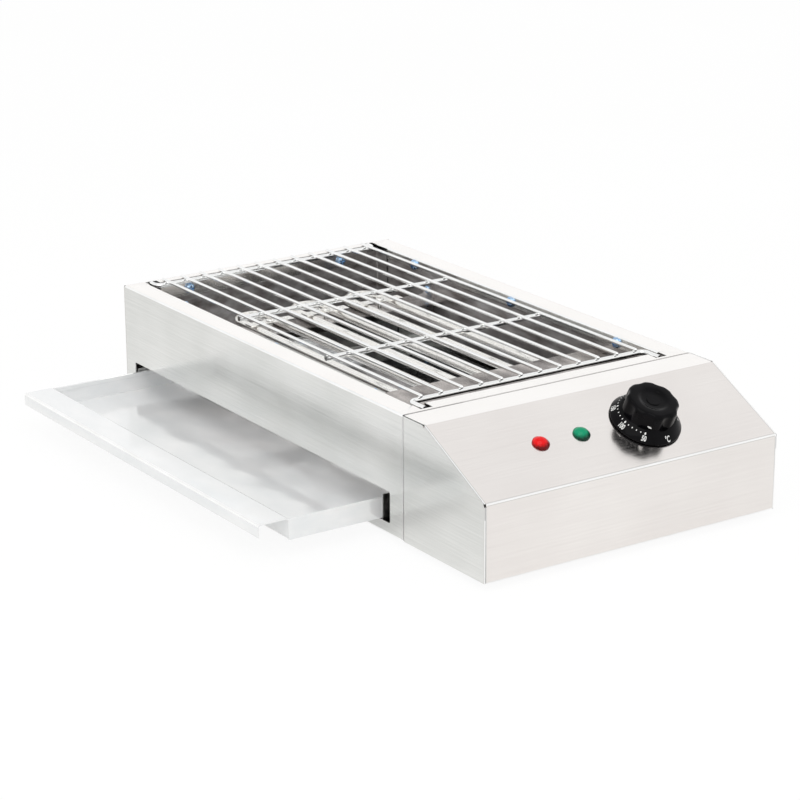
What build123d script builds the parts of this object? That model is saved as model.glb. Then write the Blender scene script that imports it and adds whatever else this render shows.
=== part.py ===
from build123d import *
import os
from math import atan2, cos, degrees, radians, sin, sqrt

# Electric fish roaster: a folded stainless steel box with an open grill top,
# a drip tray that slides out of the left side, and a sloped control box in front.
#
# All sizes are in millimetres. While the pieces are made, x runs across the body
# from its middle (left is negative), y runs to the rear from the seam between the
# control box and the grill body, and z runs up from the lower edge of the sheets.

# ---- Driving sizes: sheet-metal body ----
body_width = 280.0
body_length = 441.0
body_height = 102.0
sheet = 0.8                   # stainless sheet of every folded panel
bend = 1.6                    # outside radius of a fold
seam = 0.4                    # open joint between two panels
side_flange = 20.0            # top flange along each side
front_flange = 17.0           # top flange in front of the grill opening
rear_flange = 11.0            # top flange behind the grill opening
side_return = 10.0            # lip turned down at the opening, sides and front
rear_return = 16.0            # the same lip at the rear
bottom_flange = 15.0          # flange that the bottom plate lies on

# ---- Control box ----
control_top = 28.5            # flat strip behind the slope
control_depth = 107.0         # how far the box stands in front of the seam
control_front = 62.5          # height of its upright front
relief_hole = 2.6             # bend relief at the ends of the slope
cheek_return = 12.0           # flange under each cheek and under the front
vent_count = 7
vent_width = 3.0
vent_length = 40.0
vent_pitch = 9.0

# ---- Feet ----
foot_height = 6.0
foot_top = 22.0
foot_base = 18.0
foot_inset = 28.0             # from the body's edges to a foot's centre
foot_recess = 10.0            # counterbore that hides the foot's screw

# ---- Drawer slot, drip tray and runners ----
slot_front = 18.5
slot_rear_edge = 16.0         # from the slot's rear end to the body's rear
slot_low = 9.0
slot_high = 35.0
slot_corner = 2.0
tray_front = 32.0
tray_end_play = 2.0           # between the tray's rear wall and the slot's end
tray_space = 12.0             # between the shut tray and the body's right side
tray_floor = 9.4              # underside of the tray
tray_rim = 26.4
tray_hem = 4.0                # folded-over edge along the short walls
tray_pull = 83.0              # how far the tray stands out as stored
tray_keep = 60.0              # what stays inside when the tray is fully out
handle_reach = 26.2
handle_lip = 10.0
tray_play = 0.3               # under the tray on its runners
guide_play = 0.5              # between the tray's short walls and the guides
runner_shelf = 20.0
runner_foot = 12.0
guide_rise = 20.0
stop_height = 22.0
stop_gap = 15.0               # from the stop's ends to the plate screws beside it

# ---- Grate ----
wire = 3.0
wire_count = 12
wire_edge = 9.45              # from a turned end of the grate to the outermost wire
wire_lift = 0.3               # bottom of the wires above the flanges
wire_inset = 8.5              # from the front flange to the wires' ends
wire_over = 4.0               # how far the wires lie over the rear flange
bar = 4.5
weld = 0.2                    # how far a wire sinks into a bar at its weld
bar_inset_front = 12.0        # from the front flange to the front bar
bar_inset_rear = 3.2          # from the rear flange to the rear bar
middle_bar_ys = (160.5, 298.0)
middle_inset = 13.0           # from the opening's side to a middle bar's end
grate_foot_bend = 6.0
tip_play_front = 2.5          # between a turned end's tip and its notch
tip_play_rear = 1.4
notch_width = 11.0            # cut in the flanges for each turned end
notch_front = 5.0
notch_edge = 2.6              # what a rear notch leaves of the rear flange
rest_drop = 0.3               # gap under a turned end on its rest
rest_leg = 10.0

# ---- Chamber lining and heating elements ----
liner_low = 38.0
liner_gap = 0.05
liner_slot = 3.0              # open corner joint between side and rear lining
liner_wrap = 15.0             # how far the rear lining turns along the sides
liner_drop = 6.0              # top of the rear lining below the flange
element = 8.0                 # sheath diameter
element_pitch = 57.0
element_bend = 15.0           # half the distance between two legs
element_drop = 25.3           # from the top of the body to the elements' centre line
element_rear_gap = 60.0       # from the rear flange to the rear bend's centre line
element_front = -8.0
element_xs = [-element_pitch, 0.0, element_pitch]
cover_clear = 3.3             # from the elements to the top of the plate over their cold ends
cover_rear = 100.0
cover_lip = 2.6
cover_gap = 4.85              # between that plate's edge and the lining
cover_flange = 10.0
support_from_bend = 32.0      # from the rear bend to the support's middle
support_width = 32.0
support_sheet = 1.2
support_gap = 0.3
strap_offset = 8.0            # the straps lie this far in front of the support's middle
strap_half = 22.0
strap_width = 10.0

# ---- Fasteners ----
m4 = 4.0
m4_hole = 4.3
m4_head = 7.6
m4_head_height = 2.4
m4_nut = 7.0
m4_nut_height = 3.2
m5 = 5.0
m5_hole = 5.3
m5_head = 8.0
m5_head_height = 3.4
m5_nut_height = 4.0
side_bolt_front = 70.0
side_bolt_middle = 218.0
side_bolt_rear = 63.0         # from the rear flange
rear_bolt_xs = [-80.0, 80.0]
support_bolt_drops = [-1.6, 11.4]   # below the element centre line
support_bolt_offset = 8.0     # behind the support's middle
cover_bolt_inset = 7.0        # from the cover plate's rear edge
cover_bolt_drop = 5.0         # below its top
plate_screw_inset = 8.5       # from the body's sides
plate_screw_front = 75.0
plate_screw_rear = 76.0       # from the body's rear
cover_screw_ys = [-80.0, -20.0]

# ---- Controls on the slope: across the body, and down from its top edge ----
knob_x = 39.3
knob_s = 44.2
lamp_s = 43.0
lamp_red_x = -60.0
lamp_green_x = -21.5
lamp_lens = 14.0
lamp_hole = 12.0
lamp_play = 0.15
lamp_rim = 1.4
lamp_dome = 3.6
lamp_step = 0.6               # from the rim's edge to the dome
lamp_length = 26.0
lamp_nut = 18.0
lamp_nut_height = 4.0

# ---- Knob and thermostat ----
knob_gap = 1.2
skirt_radius = 29.4
skirt_edge = 1.6
skirt_top = 10.7
skirt_wall = 2.2
grip_radius = 21.7
grip_top = 24.0
grip_lobes = 8
flute_radius = 9.0
flute_place = 27.9
flute_round = 2.5
grip_edge = 1.4
dish_radius = 11.5
dish_depth = 1.6
boss_radius = 5.7
boss_height = 0.8
hub_radius = 6.5
knob_turn = 270.0
spindle = 6.0
spindle_play = 0.05
spindle_low = 12.0
spindle_high = 18.0
spindle_hole = 10.0
thermostat_x = 44.0
thermostat_y = 34.0
thermostat_z = 18.0
thermostat_screw_x = 14.0
thermostat_screw_length = 7.0
bulb = 6.0
bulb_length = 80.0
bulb_space = 22.85            # from the right lining to the bulb's middle
bulb_drop = 14.7              # below the elements' centre line
bulb_front = 30.0
capillary = 1.6
grommet_hole = 6.0

# ---- Wiring in the control box ----
collar_flange = 12.4
collar_head = 3.0
collar_thread = 10.0
collar_nut = 14.0
fold_play = 0.2               # between a plate's edge and the inside of a fold
collar_reach = 7.0
collar_play = 0.05
thread_play = 0.15
bead = 7.0
bead_length = 5.0
pin = 3.0
pin_length = 14.0
pin_nut = 5.5
pin_nut_height = 2.4
link_sheet = 1.2
link_width = 9.0
link_rise = 14.0              # strip centre above or below the pins
link_y = -18.0
block_x = 60.0
block_y = 22.0
block_z = 20.0
block_place = (-70.0, -45.0)
block_poles = 3
block_pitch = 18.0
earth_inset = 28.0            # from the body's left side
earth_y = -30.0
gland_y = -60.0
gland_z = 26.0
gland_thread = 12.0
gland_hex = 18.0
gland_flange = 4.0
gland_nose = 9.0
gland_bore = 8.0
gland_tail = 9.0
lead = 2.4                    # insulated wire
lead_bend = 3.0
lead_place = 3.8              # from a pole's centre to its leads
clamp_drop = 5.0
clamp_sheet = 2.0
clamp_head = 4.4
clamp_head_height = 1.5
tag_length = 8.0
tag_offsets = (-12.0, 0.0, 12.0)
lamp_tag = 2.5
eye_sheet = 0.8

# ---- How round the small hidden pieces are drawn ----
lead_sides = 8                # leads and the fine tube
screw_sides = 12              # shanks and heads of small screws
hole_sides = 16               # clearance holes in the sheets
ring_sides = 24               # collars, beads and ring nuts
dome_steps = 4                # rings in a lens's dome

# ---- Worked-out places ----
half = body_width / 2
inside = half - sheet
opening_x = half - side_flange
opening_rear = body_length - rear_flange
slot_rear = body_length - slot_rear_edge
notch_rear = body_length - notch_edge
plate_low = sheet
plate_high = 2 * sheet
slope_run = control_depth - control_top
slope_fall = body_height - control_front
slope_angle = degrees(atan2(slope_fall, slope_run))
grate_foot_x = opening_x - notch_width / 2
grate_foot_front = notch_front + tip_play_front
grate_foot_rear = notch_rear - tip_play_rear
middle_reach = opening_x - middle_inset
wire_pitch = 2 * (grate_foot_x - wire_edge) / (wire_count - 1)
wire_front = front_flange + wire_inset
wire_rear = opening_rear + wire_over
bar_places = {"front": front_flange + bar_inset_front, "middle_front": middle_bar_ys[0],
              "middle_rear": middle_bar_ys[1], "rear": opening_rear - bar_inset_rear}
wire_z = body_height + wire_lift + wire / 2
bar_z = wire_z - wire / 2 - bar / 2 + weld
liner_x = opening_x + sheet + liner_gap
liner_y = opening_rear + sheet + liner_gap
side_bolt_z = body_height - side_return / 2 - sheet / 2
rear_bolt_z = body_height - liner_drop - 3.5
element_height = body_height - element_drop
element_rear = opening_rear - element_rear_gap
cover_height = element_height + element / 2 + cover_clear
cover_half = liner_x - cover_gap
cover_bolt_y = cover_rear - cover_bolt_inset
support_y = element_rear - support_from_bend
support_bolt_y = support_y + support_bolt_offset
strap_y = support_y - strap_offset
side_bolt_ys = [side_bolt_front, side_bolt_middle, opening_rear - side_bolt_rear]
plate_screw_xs = [plate_screw_inset - half, half - plate_screw_inset]
plate_screw_last = body_length - plate_screw_rear
plate_screw_ys = [plate_screw_front, (plate_screw_front + plate_screw_last) / 2, plate_screw_last]
stop_front = plate_screw_ys[1] + stop_gap
stop_rear = plate_screw_ys[2] - stop_gap
bulb_x = liner_x - bulb_space
bulb_z = element_height - bulb_drop
earth_place = (earth_inset - half, earth_y)
tray_rear = slot_rear - tray_end_play
tray_depth = body_width - tray_space
tray_out = -half - tray_pull
tray_in = tray_out + tray_depth
runner_top = tray_floor - tray_play
foot_spots = [(x, y) for x in (-half + foot_inset, half - foot_inset)
              for y in (-control_depth + foot_inset, body_length - foot_inset)]
slope = Plane(origin=(0, -control_top, body_height), x_dir=(1, 0, 0),
              z_dir=(0, -sin(radians(slope_angle)), cos(radians(slope_angle))))

pieces = {}


# ---- Small helpers for folded sheet, plates and turned parts ----
def block(x0, x1, y0, y1, z0, z1):
    """A box between two corners."""
    return Pos((x0 + x1) / 2, (y0 + y1) / 2, (z0 + z1) / 2) * Box(x1 - x0, y1 - y0, z1 - z0)


def folded(points, side, thickness=sheet):
    """Section of a folded sheet: its outer line with rounded folds, and its thickness."""
    line = FilletPolyline(*points, radius=bend)
    return make_face(line.wire().offset_2d(thickness, side=side, closed=True))


def along_x(face, x0, x1):
    """Extrudes a section drawn in (y, z) from x0 to x1."""
    return extrude(Plane(origin=(x0, 0, 0), x_dir=(0, 1, 0), z_dir=(1, 0, 0)) * face, amount=x1 - x0)


def along_y(face, y0, y1):
    """Extrudes a section drawn in (x, z) from y0 to y1."""
    return extrude(Plane(origin=(0, y1, 0), x_dir=(1, 0, 0), z_dir=(0, -1, 0)) * face, amount=y1 - y0)


def along_z(face, z0, z1):
    """Extrudes an outline drawn in (x, y) from z0 to z1."""
    return extrude(Pos(0, 0, z0) * face, amount=z1 - z0)


def outline(*points):
    """A flat face with straight edges."""
    return make_face(Polyline(*points, close=True))


def rod(start, end, diameter, section=None):
    """A straight rod between two points, round unless it has a section of its own."""
    axis = Vector(*end) - Vector(*start)
    return extrude(Plane(origin=start, z_dir=axis) * (section or Circle(diameter / 2)), amount=axis.length)


def around(diameter, sides):
    """A polygon just outside a circle, so that a round piece of that size passes through it."""
    return RegularPolygon(diameter / 2, sides, major_radius=False)


def drilled(start, end, diameter):
    """What a clearance hole between two points takes away."""
    return rod(start, end, diameter, around(diameter, hole_sides))


def swept(points, diameter, radius, sides=0):
    """A rod bent along straight runs with one bend radius: round, or with a few flat sides."""
    line = FilletPolyline(*points, radius=radius)
    start = Plane(origin=line @ 0, z_dir=line % 0)
    section = RegularPolygon(diameter / 2, sides) if sides else Circle(diameter / 2)
    return sweep(start * section, path=line)


def hexagon(across, depth, hole=0.0):
    """A hexagonal nut or head standing on z = 0, with an optional hole."""
    body = extrude(RegularPolygon(across / 2, 6, major_radius=False), amount=depth)
    return body - extrude(around(hole, screw_sides), amount=2 * depth, both=True) if hole else body


def ring(outer, inner, depth):
    """A round ring standing on z = 0."""
    return extrude(RegularPolygon(outer / 2, ring_sides) - around(inner, ring_sides), amount=depth)


def pan_screw(diameter, head, head_height, length):
    """A pan-head screw: the head stands on z = 0 and the shank goes down."""
    top = extrude(RegularPolygon(head / 2, screw_sides), amount=head_height)
    top = chamfer(top.edges().group_by(Axis.Z)[-1], head_height * 0.45)
    return top + extrude(RegularPolygon(diameter / 2, screw_sides), amount=-length)


def facing(x, y, z, direction):
    """A frame at a point whose z runs along the direction."""
    return Plane(origin=(x, y, z), z_dir=direction)


def on_slope(x, s, shape):
    """Puts a shape on the sloped panel: x across, s down from the slope's top edge."""
    return slope.location * Pos(x, -s, 0) * shape


def mirrored(shape):
    """The same piece on the other side of the body."""
    return mirror(shape, about=Plane.YZ)


def keep(name, shape):
    """Files a piece, or a group of like pieces, under its name."""
    pieces[name] = shape if isinstance(shape, (list, tuple)) else [shape]


# ---- Outer shell ----
def mitre(y_edge, y_inner, gap):
    """Cuts away what lies past the slanted joint of two top flanges, on the left."""
    step = 1 if y_inner > y_edge else -1
    reach = 2.0
    slope_y = (y_inner - y_edge) / side_flange
    far = side_flange + reach
    corner = (-half, y_edge + step * gap)
    inner = (-half + far, y_edge + slope_y * far + step * gap)
    outline_points = [corner, inner, (inner[0], y_edge - step * 5), (-half - 1, y_edge - step * 5),
                      (-half - 1, corner[1])]
    return along_z(outline(*outline_points), body_height - sheet - 0.02, body_height + 1)


def side_panel():
    """Left side: wall, top flange with its lip, and bottom flange."""
    section = folded([(-opening_x, body_height - side_return), (-opening_x, body_height),
                      (-half, body_height), (-half, 0), (-half + bottom_flange, 0)], Side.LEFT)
    panel = along_y(section, seam / 2, body_length - sheet - seam / 2)
    panel -= mitre(0, front_flange, seam / 2)
    panel -= mitre(body_length, opening_rear, seam / 2)
    lip = (-opening_x - sheet - 1, -opening_x + 1)
    drop = (body_height - side_return - 1, body_height - sheet - 0.02)
    panel -= block(*lip, -1, front_flange + seam, *drop)
    panel -= block(*lip, opening_rear - liner_wrap - liner_slot, body_length, *drop)
    low = (-half + bend, -half + bottom_flange + 1)
    panel -= block(*low, -1, bottom_flange + seam, -1, bend)
    panel -= block(*low, body_length - bottom_flange - seam, body_length + 1, -1, bend)
    for y in side_bolt_ys:
        panel -= drilled((-opening_x - 3, y, side_bolt_z), (-opening_x + 3, y, side_bolt_z), m5_hole)
    for y in plate_screw_ys:
        panel -= drilled((plate_screw_xs[0], y, -1), (plate_screw_xs[0], y, plate_low + 0.5), m4_hole)
    return panel


def left_panel():
    """The left side also has the drawer slot."""
    opening = Pos((slot_front + slot_rear) / 2, (slot_low + slot_high) / 2) * RectangleRounded(
        slot_rear - slot_front, slot_high - slot_low, slot_corner)
    return side_panel() - along_x(opening, -half - 2, -half + 3)


def bulkhead():
    """Wall between the grill body and the control box, with the front top flange."""
    section = folded([(front_flange, body_height - side_return), (front_flange, body_height),
                      (seam / 2, body_height), (seam / 2, 0), (bottom_flange, 0)], Side.LEFT)
    wall = along_x(section, -half, half)
    low = body_height - sheet - 0.02
    cuts = [block(-half - 1, -half + bend + fold_play, -1, bottom_flange + 1, -1, low),
            block(-half - 1, -opening_x + notch_width, sheet + bend, front_flange + 1,
                  body_height - side_return - 1, low)]
    joint = along_z(outline((-half - 1, -1), (-half, 0), (-half, -1)), low, body_height + 1)
    flange = along_z(outline((-half, -1), (-half, seam / 2 + 0.02), (-half + side_flange + 1,
                     front_flange * (side_flange + 1) / side_flange - seam / 2),
                     (-half + side_flange + 1, front_flange + 2), (-half - 1, front_flange + 2),
                     (-half - 1, -1)), low, body_height + 1)
    notch = block(-opening_x, -opening_x + notch_width, notch_front, front_flange + 1,
                  body_height - side_return - 1, body_height + 1)
    for cut in cuts + [flange, joint, notch]:
        wall -= cut
        wall -= mirrored(cut)
    for x in leg_xs():
        wall -= drilled((x, -2, element_height), (x, 3, element_height), collar_thread + 2 * thread_play)
    wall -= drilled((bulb_x, -2, bulb_z), (bulb_x, 3, bulb_z), grommet_hole)
    return wall


def rear_panel():
    """Rear wall with its top flange and bottom flange."""
    section = folded([(opening_rear, body_height - rear_return), (opening_rear, body_height),
                      (body_length, body_height), (body_length, 0),
                      (body_length - bottom_flange, 0)], Side.RIGHT)
    wall = along_x(section, -half, half)
    low = body_height - sheet - 0.02
    flange = along_z(outline((-half, body_length + 1), (-half, body_length - seam / 2 - sheet),
                     (-half + side_flange + 1,
                      body_length - rear_flange * (side_flange + 1) / side_flange + seam / 2),
                     (-half + side_flange + 1, opening_rear - 2), (-half - 1, opening_rear - 2),
                     (-half - 1, body_length - seam / 2 - sheet)), low, body_height + 1)
    cuts = [flange,
            block(-half - 1, -half + bend + fold_play, body_length - bottom_flange - 1,
                  body_length - sheet - 0.1, -1, bend + 0.5),
            block(-half - 1, -opening_x + notch_width, opening_rear - 1, body_length - bend - 0.2,
                  body_height - rear_return - 1, low),
            block(-opening_x, -opening_x + notch_width, opening_rear - 1, notch_rear,
                  body_height - rear_return - 1, body_height + 1)]
    for cut in cuts:
        wall -= cut
        wall -= mirrored(cut)
    for x in rear_bolt_xs:
        wall -= drilled((x, opening_rear - 3, rear_bolt_z), (x, opening_rear + 3, rear_bolt_z), m5_hole)
    return wall


def cover_line():
    """Outer corners of the control cover, from the seam round to its bottom flange."""
    return [(-seam / 2, body_height), (-control_top, body_height), (-control_depth, control_front),
            (-control_depth, 0), (-control_depth + cheek_return, 0)]


def control_cover():
    """Folded cover: top strip, slope and front, with a cheek folded down at each side."""
    cover = along_x(folded(cover_line(), Side.LEFT), -half, half)
    edge = sheet + seam / 2
    over = 3.0
    strip = block(-half - 1, -half + edge, -control_top - 0.5, 1, body_height - 2 * bend, body_height + 1)
    front = block(-half - 1, -half + edge, -control_depth - 1, -control_depth + 2 * bend + over,
                  -1, control_front + 0.3)
    under = block(-half - 1, -half + cheek_return + seam, -control_depth + bend + 0.2, 0, -1, bend)
    cheek_outline = make_face(Polyline(
        (-seam / 2, 0), (-seam / 2, body_height), (-control_top, body_height),
        (-control_depth, control_front), (-control_depth, 0), close=True))
    cheek = along_x(cheek_outline, -half, -half + sheet)
    shelf = block(-half, -half + cheek_return, -control_depth + bend + 0.6, -seam / 2, 0, sheet)
    for cut in (strip, front, under):
        cover -= cut
        cover -= mirrored(cut)
    cover += cheek + shelf
    cover += mirrored(cheek + shelf)
    for y, z in ((-control_top, body_height), (-control_depth, control_front)):
        inward = 0.9
        hole = rod((-half - 1, y + inward, z - inward), (-half + sheet + 0.6, y + inward, z - inward),
                   relief_hole)
        cover -= hole
        cover -= mirrored(hole)
    cover -= on_slope(knob_x, knob_s, Cylinder(spindle_hole / 2, 6))
    for x in (knob_x - thermostat_screw_x, knob_x + thermostat_screw_x):
        cover -= on_slope(x, knob_s, drilled((0, 0, -3), (0, 0, 3), m4_hole))
    for x in (lamp_red_x, lamp_green_x):
        cover -= on_slope(x, lamp_s, Cylinder(lamp_hole / 2, 6))
    cover -= drilled((half - 3, gland_y, gland_z), (half + 3, gland_y, gland_z),
                     gland_thread + 2 * thread_play)
    for x in plate_screw_xs:
        for y in cover_screw_ys:
            cover -= drilled((x, y, -1), (x, y, sheet + 0.5), m4_hole)
    return cover


def plate(y0, y1, screw_ys):
    """A bottom plate that lies on the flanges, with holes for screws and feet."""
    edge = half - bend - fold_play
    body = block(-edge, edge, y0, y1, plate_low, plate_high)
    for x in plate_screw_xs:
        for y in screw_ys:
            body -= drilled((x, y, -1), (x, y, plate_high + 1), m4_hole)
    for x, y in foot_spots:
        if y0 < y < y1:
            body -= drilled((x, y, -1), (x, y, plate_high + 1), m4_hole)
    return body


def control_base():
    """Bottom plate of the control box with a row of cooling slots."""
    base = plate(-control_depth + bend + fold_play, -seam, cover_screw_ys)
    middle = -control_depth / 2
    for i in range(vent_count):
        x = (i - (vent_count - 1) / 2) * vent_pitch
        base -= along_z(Pos(x, middle) * Rot(0, 0, 90) * SlotOverall(vent_length, vent_width), -1, 3)
    base -= drilled((*earth_place, -1), (*earth_place, plate_high + 1), m4_hole)
    return base


def feet():
    """Rubber feet: a tapered puck with a recess for its screw."""
    puck = Pos(0, 0, -foot_height) * extrude(Circle(foot_base / 2), amount=foot_height,
                                              taper=-degrees(atan2((foot_top - foot_base) / 2, foot_height)))
    puck -= Pos(0, 0, -foot_height) * Cylinder(foot_recess / 2, foot_height)
    puck -= drilled((0, 0, -foot_height - 1), (0, 0, 1), m4_hole)
    return [Pos(x, y, plate_low - sheet) * puck for x, y in foot_spots]


def foot_screws():
    """Screw up through each foot and the bottom plate, with its nut inside."""
    screw = Rot(180, 0, 0) * pan_screw(m4, m4_head, m4_head_height, foot_height / 2 + 5.5)
    nut = hexagon(m4_nut, m4_nut_height, m4 + 2 * collar_play)
    screws = [Pos(x, y, -foot_height / 2) * screw for x, y in foot_spots]
    return screws + [Pos(x, y, plate_high + 0.05) * nut for x, y in foot_spots]


def plate_screws():
    """Screws that hold both bottom plates to the folded flanges."""
    screw = Rot(180, 0, 0) * pan_screw(m4, m4_head, m4_head_height, plate_high + 4)
    return [Pos(x, y, 0) * screw for x in plate_screw_xs for y in plate_screw_ys + cover_screw_ys]


# ---- Chamber lining ----
def side_liner():
    """Left lining sheet behind the flange's lip."""
    y0 = sheet + seam + 0.8
    y1 = opening_rear - liner_wrap - liner_slot
    liner = block(-liner_x - sheet, -liner_x, y0, y1, liner_low, body_height - bend - fold_play)
    for y in side_bolt_ys:
        liner -= drilled((-liner_x - 3, y, side_bolt_z), (-liner_x + 3, y, side_bolt_z), m5_hole)
    for drop in support_bolt_drops:
        z = element_height - drop
        liner -= drilled((-liner_x - 3, support_bolt_y, z), (-liner_x + 3, support_bolt_y, z), m4_hole)
    z = cover_height - cover_bolt_drop
    liner -= drilled((-liner_x - 3, cover_bolt_y, z), (-liner_x + 3, cover_bolt_y, z), m4_hole)
    return liner


def rear_liner():
    """Rear lining sheet, turned forwards at both ends."""
    outer = liner_x + sheet
    section = folded([(-outer, opening_rear - liner_wrap), (-outer, liner_y + sheet),
                      (outer, liner_y + sheet), (outer, opening_rear - liner_wrap)], Side.RIGHT)
    liner = along_z(section, liner_low, body_height - liner_drop)
    for x in rear_bolt_xs:
        liner -= drilled((x, liner_y - 3, rear_bolt_z), (x, liner_y + 3, rear_bolt_z), m5_hole)
    return liner


def element_cover():
    """Plate over the cold ends of the elements, with a flange, a lip and side tabs."""
    wall = sheet + seam / 2 + 0.1
    section = folded([(wall, cover_height + cover_flange), (wall, cover_height - sheet),
                      (cover_rear, cover_height - sheet)], Side.LEFT)
    shelf = along_x(section, -cover_half, cover_half)
    side = -liner_x + 0.1
    tab = block(side, side + sheet, cover_bolt_y - 8, cover_bolt_y + 7, cover_height - 11, cover_height)
    arm = block(side, -cover_half + 1, cover_bolt_y - 8, cover_bolt_y + 7, cover_height - sheet, cover_height)
    tab = tab + arm
    z = cover_height - cover_bolt_drop
    tab -= drilled((side - 2, cover_bolt_y, z), (side + 3, cover_bolt_y, z), m4_hole)
    shelf += tab
    shelf += mirrored(tab)
    shelf += block(-cover_half, cover_half, cover_rear - sheet, cover_rear, cover_height - cover_lip,
                   cover_height)
    gap = block(-cover_half - 1, -cover_half + 16, 0, wall + sheet + 1, cover_height, cover_height + 20)
    shelf -= gap
    shelf -= mirrored(gap)
    return shelf


def leg_xs():
    """Where the straight legs of the elements run."""
    return [x + side * element_bend for x in element_xs for side in (-1, 1)]


def heating_element(x):
    """One hairpin: two straight legs and a rear bend, in one bent sheath."""
    turn = element_rear - element_bend
    left = x - element_bend
    right = x + element_bend
    z = element_height
    path = Wire([Line((left, element_front, z), (left, turn, z)),
                 ThreePointArc((left, turn, z), (x, element_rear, z), (right, turn, z)),
                 Line((right, turn, z), (right, element_front, z))])
    start = Plane(origin=(left, element_front, z), z_dir=(0, 1, 0))
    return sweep(start * Circle(element / 2), path=path)


def element_collars():
    """Flanged collar brazed on each leg, seated on the bulkhead's rear face."""
    face = sheet + seam / 2 + 0.02
    bore = element + 2 * collar_play
    collar = ring(collar_flange, bore, collar_head)
    thread = ring(collar_thread, bore, collar_reach + face)
    made = []
    for x in leg_xs():
        head = facing(x, face, element_height, (0, 1, 0)).location * collar
        neck = facing(x, -collar_reach + face, element_height, (0, 1, 0)).location * Pos(0, 0, -face) * thread
        made.append(head + neck)
    return made


def collar_nuts():
    """Nut on each collar, on the control-box side of the bulkhead."""
    nut = hexagon(collar_nut, collar_head, collar_thread + 2 * collar_play)
    y = seam / 2 - 0.02 - collar_head
    return [facing(x, y, element_height, (0, 1, 0)).location * nut for x in leg_xs()]


def element_beads():
    """Ceramic bead that closes the end of each leg."""
    bead_body = ring(bead, pin + 2 * collar_play, bead_length)
    return [facing(x, element_front - 0.05 - bead_length, element_height, (0, 1, 0)).location * bead_body
            for x in leg_xs()]


def element_pins():
    """Threaded terminal pin of each leg."""
    root = element_front - 0.05
    tip = root - pin_length - bead_length
    section = RegularPolygon(pin / 2, screw_sides)
    return [rod((x, root, element_height), (x, tip, element_height), pin, section) for x in leg_xs()]


def link(xs, side):
    """Comb-shaped strip that joins three terminal pins, above or below them."""
    z = element_height + side * link_rise
    low, high = z - link_width / 2, z + link_width / 2
    y0, y1 = link_y - link_sheet, link_y
    strip = block(min(xs) - 5, max(xs) + 5, y0, y1, low, high)
    for x in xs:
        tab = (element_height - 5, high) if side > 0 else (low, element_height + 5)
        strip += block(x - 5, x + 5, y0, y1, *tab)
    for x in xs:
        strip -= drilled((x, y0 - 1, element_height), (x, y1 + 1, element_height), pin + 2 * collar_play)
    return strip


def pin_nuts():
    """Nut that clamps a link to each pin."""
    nut = hexagon(pin_nut, pin_nut_height, pin + 2 * collar_play)
    y = link_y - link_sheet - 0.05 - pin_nut_height
    return [facing(x, y, element_height, (0, 1, 0)).location * nut for x in leg_xs()]


def element_support():
    """Cross strip under the elements with an upright tab at each end."""
    top = element_height - element / 2 - support_gap
    side = liner_x - 0.1
    strip = block(-side, side, support_y - support_width / 2, support_y + support_width / 2,
                  top - support_sheet, top)
    tab = block(-side, -side + support_sheet, support_bolt_y - 8, support_bolt_y + 8,
                element_height - 18, element_height + 8)
    for drop in support_bolt_drops:
        z = element_height - drop
        tab -= drilled((-side - 2, support_bolt_y, z), (-side + 4, support_bolt_y, z), m4_hole)
    strip += tab
    strip += mirrored(tab)
    for x in element_xs:
        strip -= drilled((x, strap_y, top - 3), (x, strap_y, top + 3), m4_hole)
    return strip


def element_straps():
    """Strap across both legs of each element."""
    low = element_height + element / 2 + 0.1
    strap = block(-strap_half, strap_half, strap_y - strap_width / 2, strap_y + strap_width / 2, low,
                  low + support_sheet)
    strap -= drilled((0, strap_y, low - 3), (0, strap_y, low + 3), m4_hole)
    return [Pos(x, 0, 0) * strap for x in element_xs]


def strap_screws():
    """Screw down through each strap into the support."""
    top = element_height + element / 2 + 0.1 + support_sheet
    screw = pan_screw(m4, m4_head, m4_head_height, element + 5)
    return [Pos(x, strap_y, top) * screw for x in element_xs]


def wall_bolt(x, y, z, direction, diameter, head, head_height, grip):
    """Bolt whose dome head faces into the chamber, with its nut behind the sheets."""
    place = facing(x, y, z, direction).location
    bolt = place * pan_screw(diameter, head, head_height, grip + m5_nut_height + 2)
    nut = hexagon(head, m5_nut_height, diameter + 2 * collar_play)
    return [bolt, place * Pos(0, 0, -grip - m5_nut_height - 0.05) * nut]


def liner_bolts():
    """Bolts that clamp the lining to the lips of the top flanges."""
    made = []
    grip = 2 * sheet + liner_gap
    for y in side_bolt_ys:
        made += wall_bolt(-opening_x, y, side_bolt_z, (1, 0, 0), m5, m5_head, m5_head_height, grip)
        made += wall_bolt(opening_x, y, side_bolt_z, (-1, 0, 0), m5, m5_head, m5_head_height, grip)
    for x in rear_bolt_xs:
        made += wall_bolt(x, opening_rear, rear_bolt_z, (0, -1, 0), m5, m5_head, m5_head_height, grip)
    return made


def support_bolts():
    """Bolts that hold the support and the cover plate to the side lining."""
    made = []
    grip = support_sheet + sheet + 0.1
    face = liner_x - 0.1 - support_sheet
    for side in (-1, 1):
        for drop in support_bolt_drops:
            made += wall_bolt(side * face, support_bolt_y, element_height - drop, (-side, 0, 0), m4, m4_nut,
                              m4_head_height, grip)
        inner = liner_x - 0.1 - sheet
        made += wall_bolt(side * inner, cover_bolt_y, cover_height - cover_bolt_drop, (-side, 0, 0), m4,
                          m4_nut, m4_head_height, 2 * sheet + 0.1)
    return made


# ---- Grate ----
def grate_wires():
    """Long wires that the food lies on."""
    made = []
    for i in range(wire_count):
        x = (i - (wire_count - 1) / 2) * wire_pitch
        made.append(rod((x, wire_front, wire_z), (x, wire_rear, wire_z), wire))
    return made


def end_bar(y, tip):
    """Front or rear bar, whose ends turn outwards to sit in the flange notches."""
    reach = grate_foot_x
    return swept([(-reach, tip, bar_z), (-reach, y, bar_z), (reach, y, bar_z), (reach, tip, bar_z)],
                 bar, grate_foot_bend)


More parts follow.
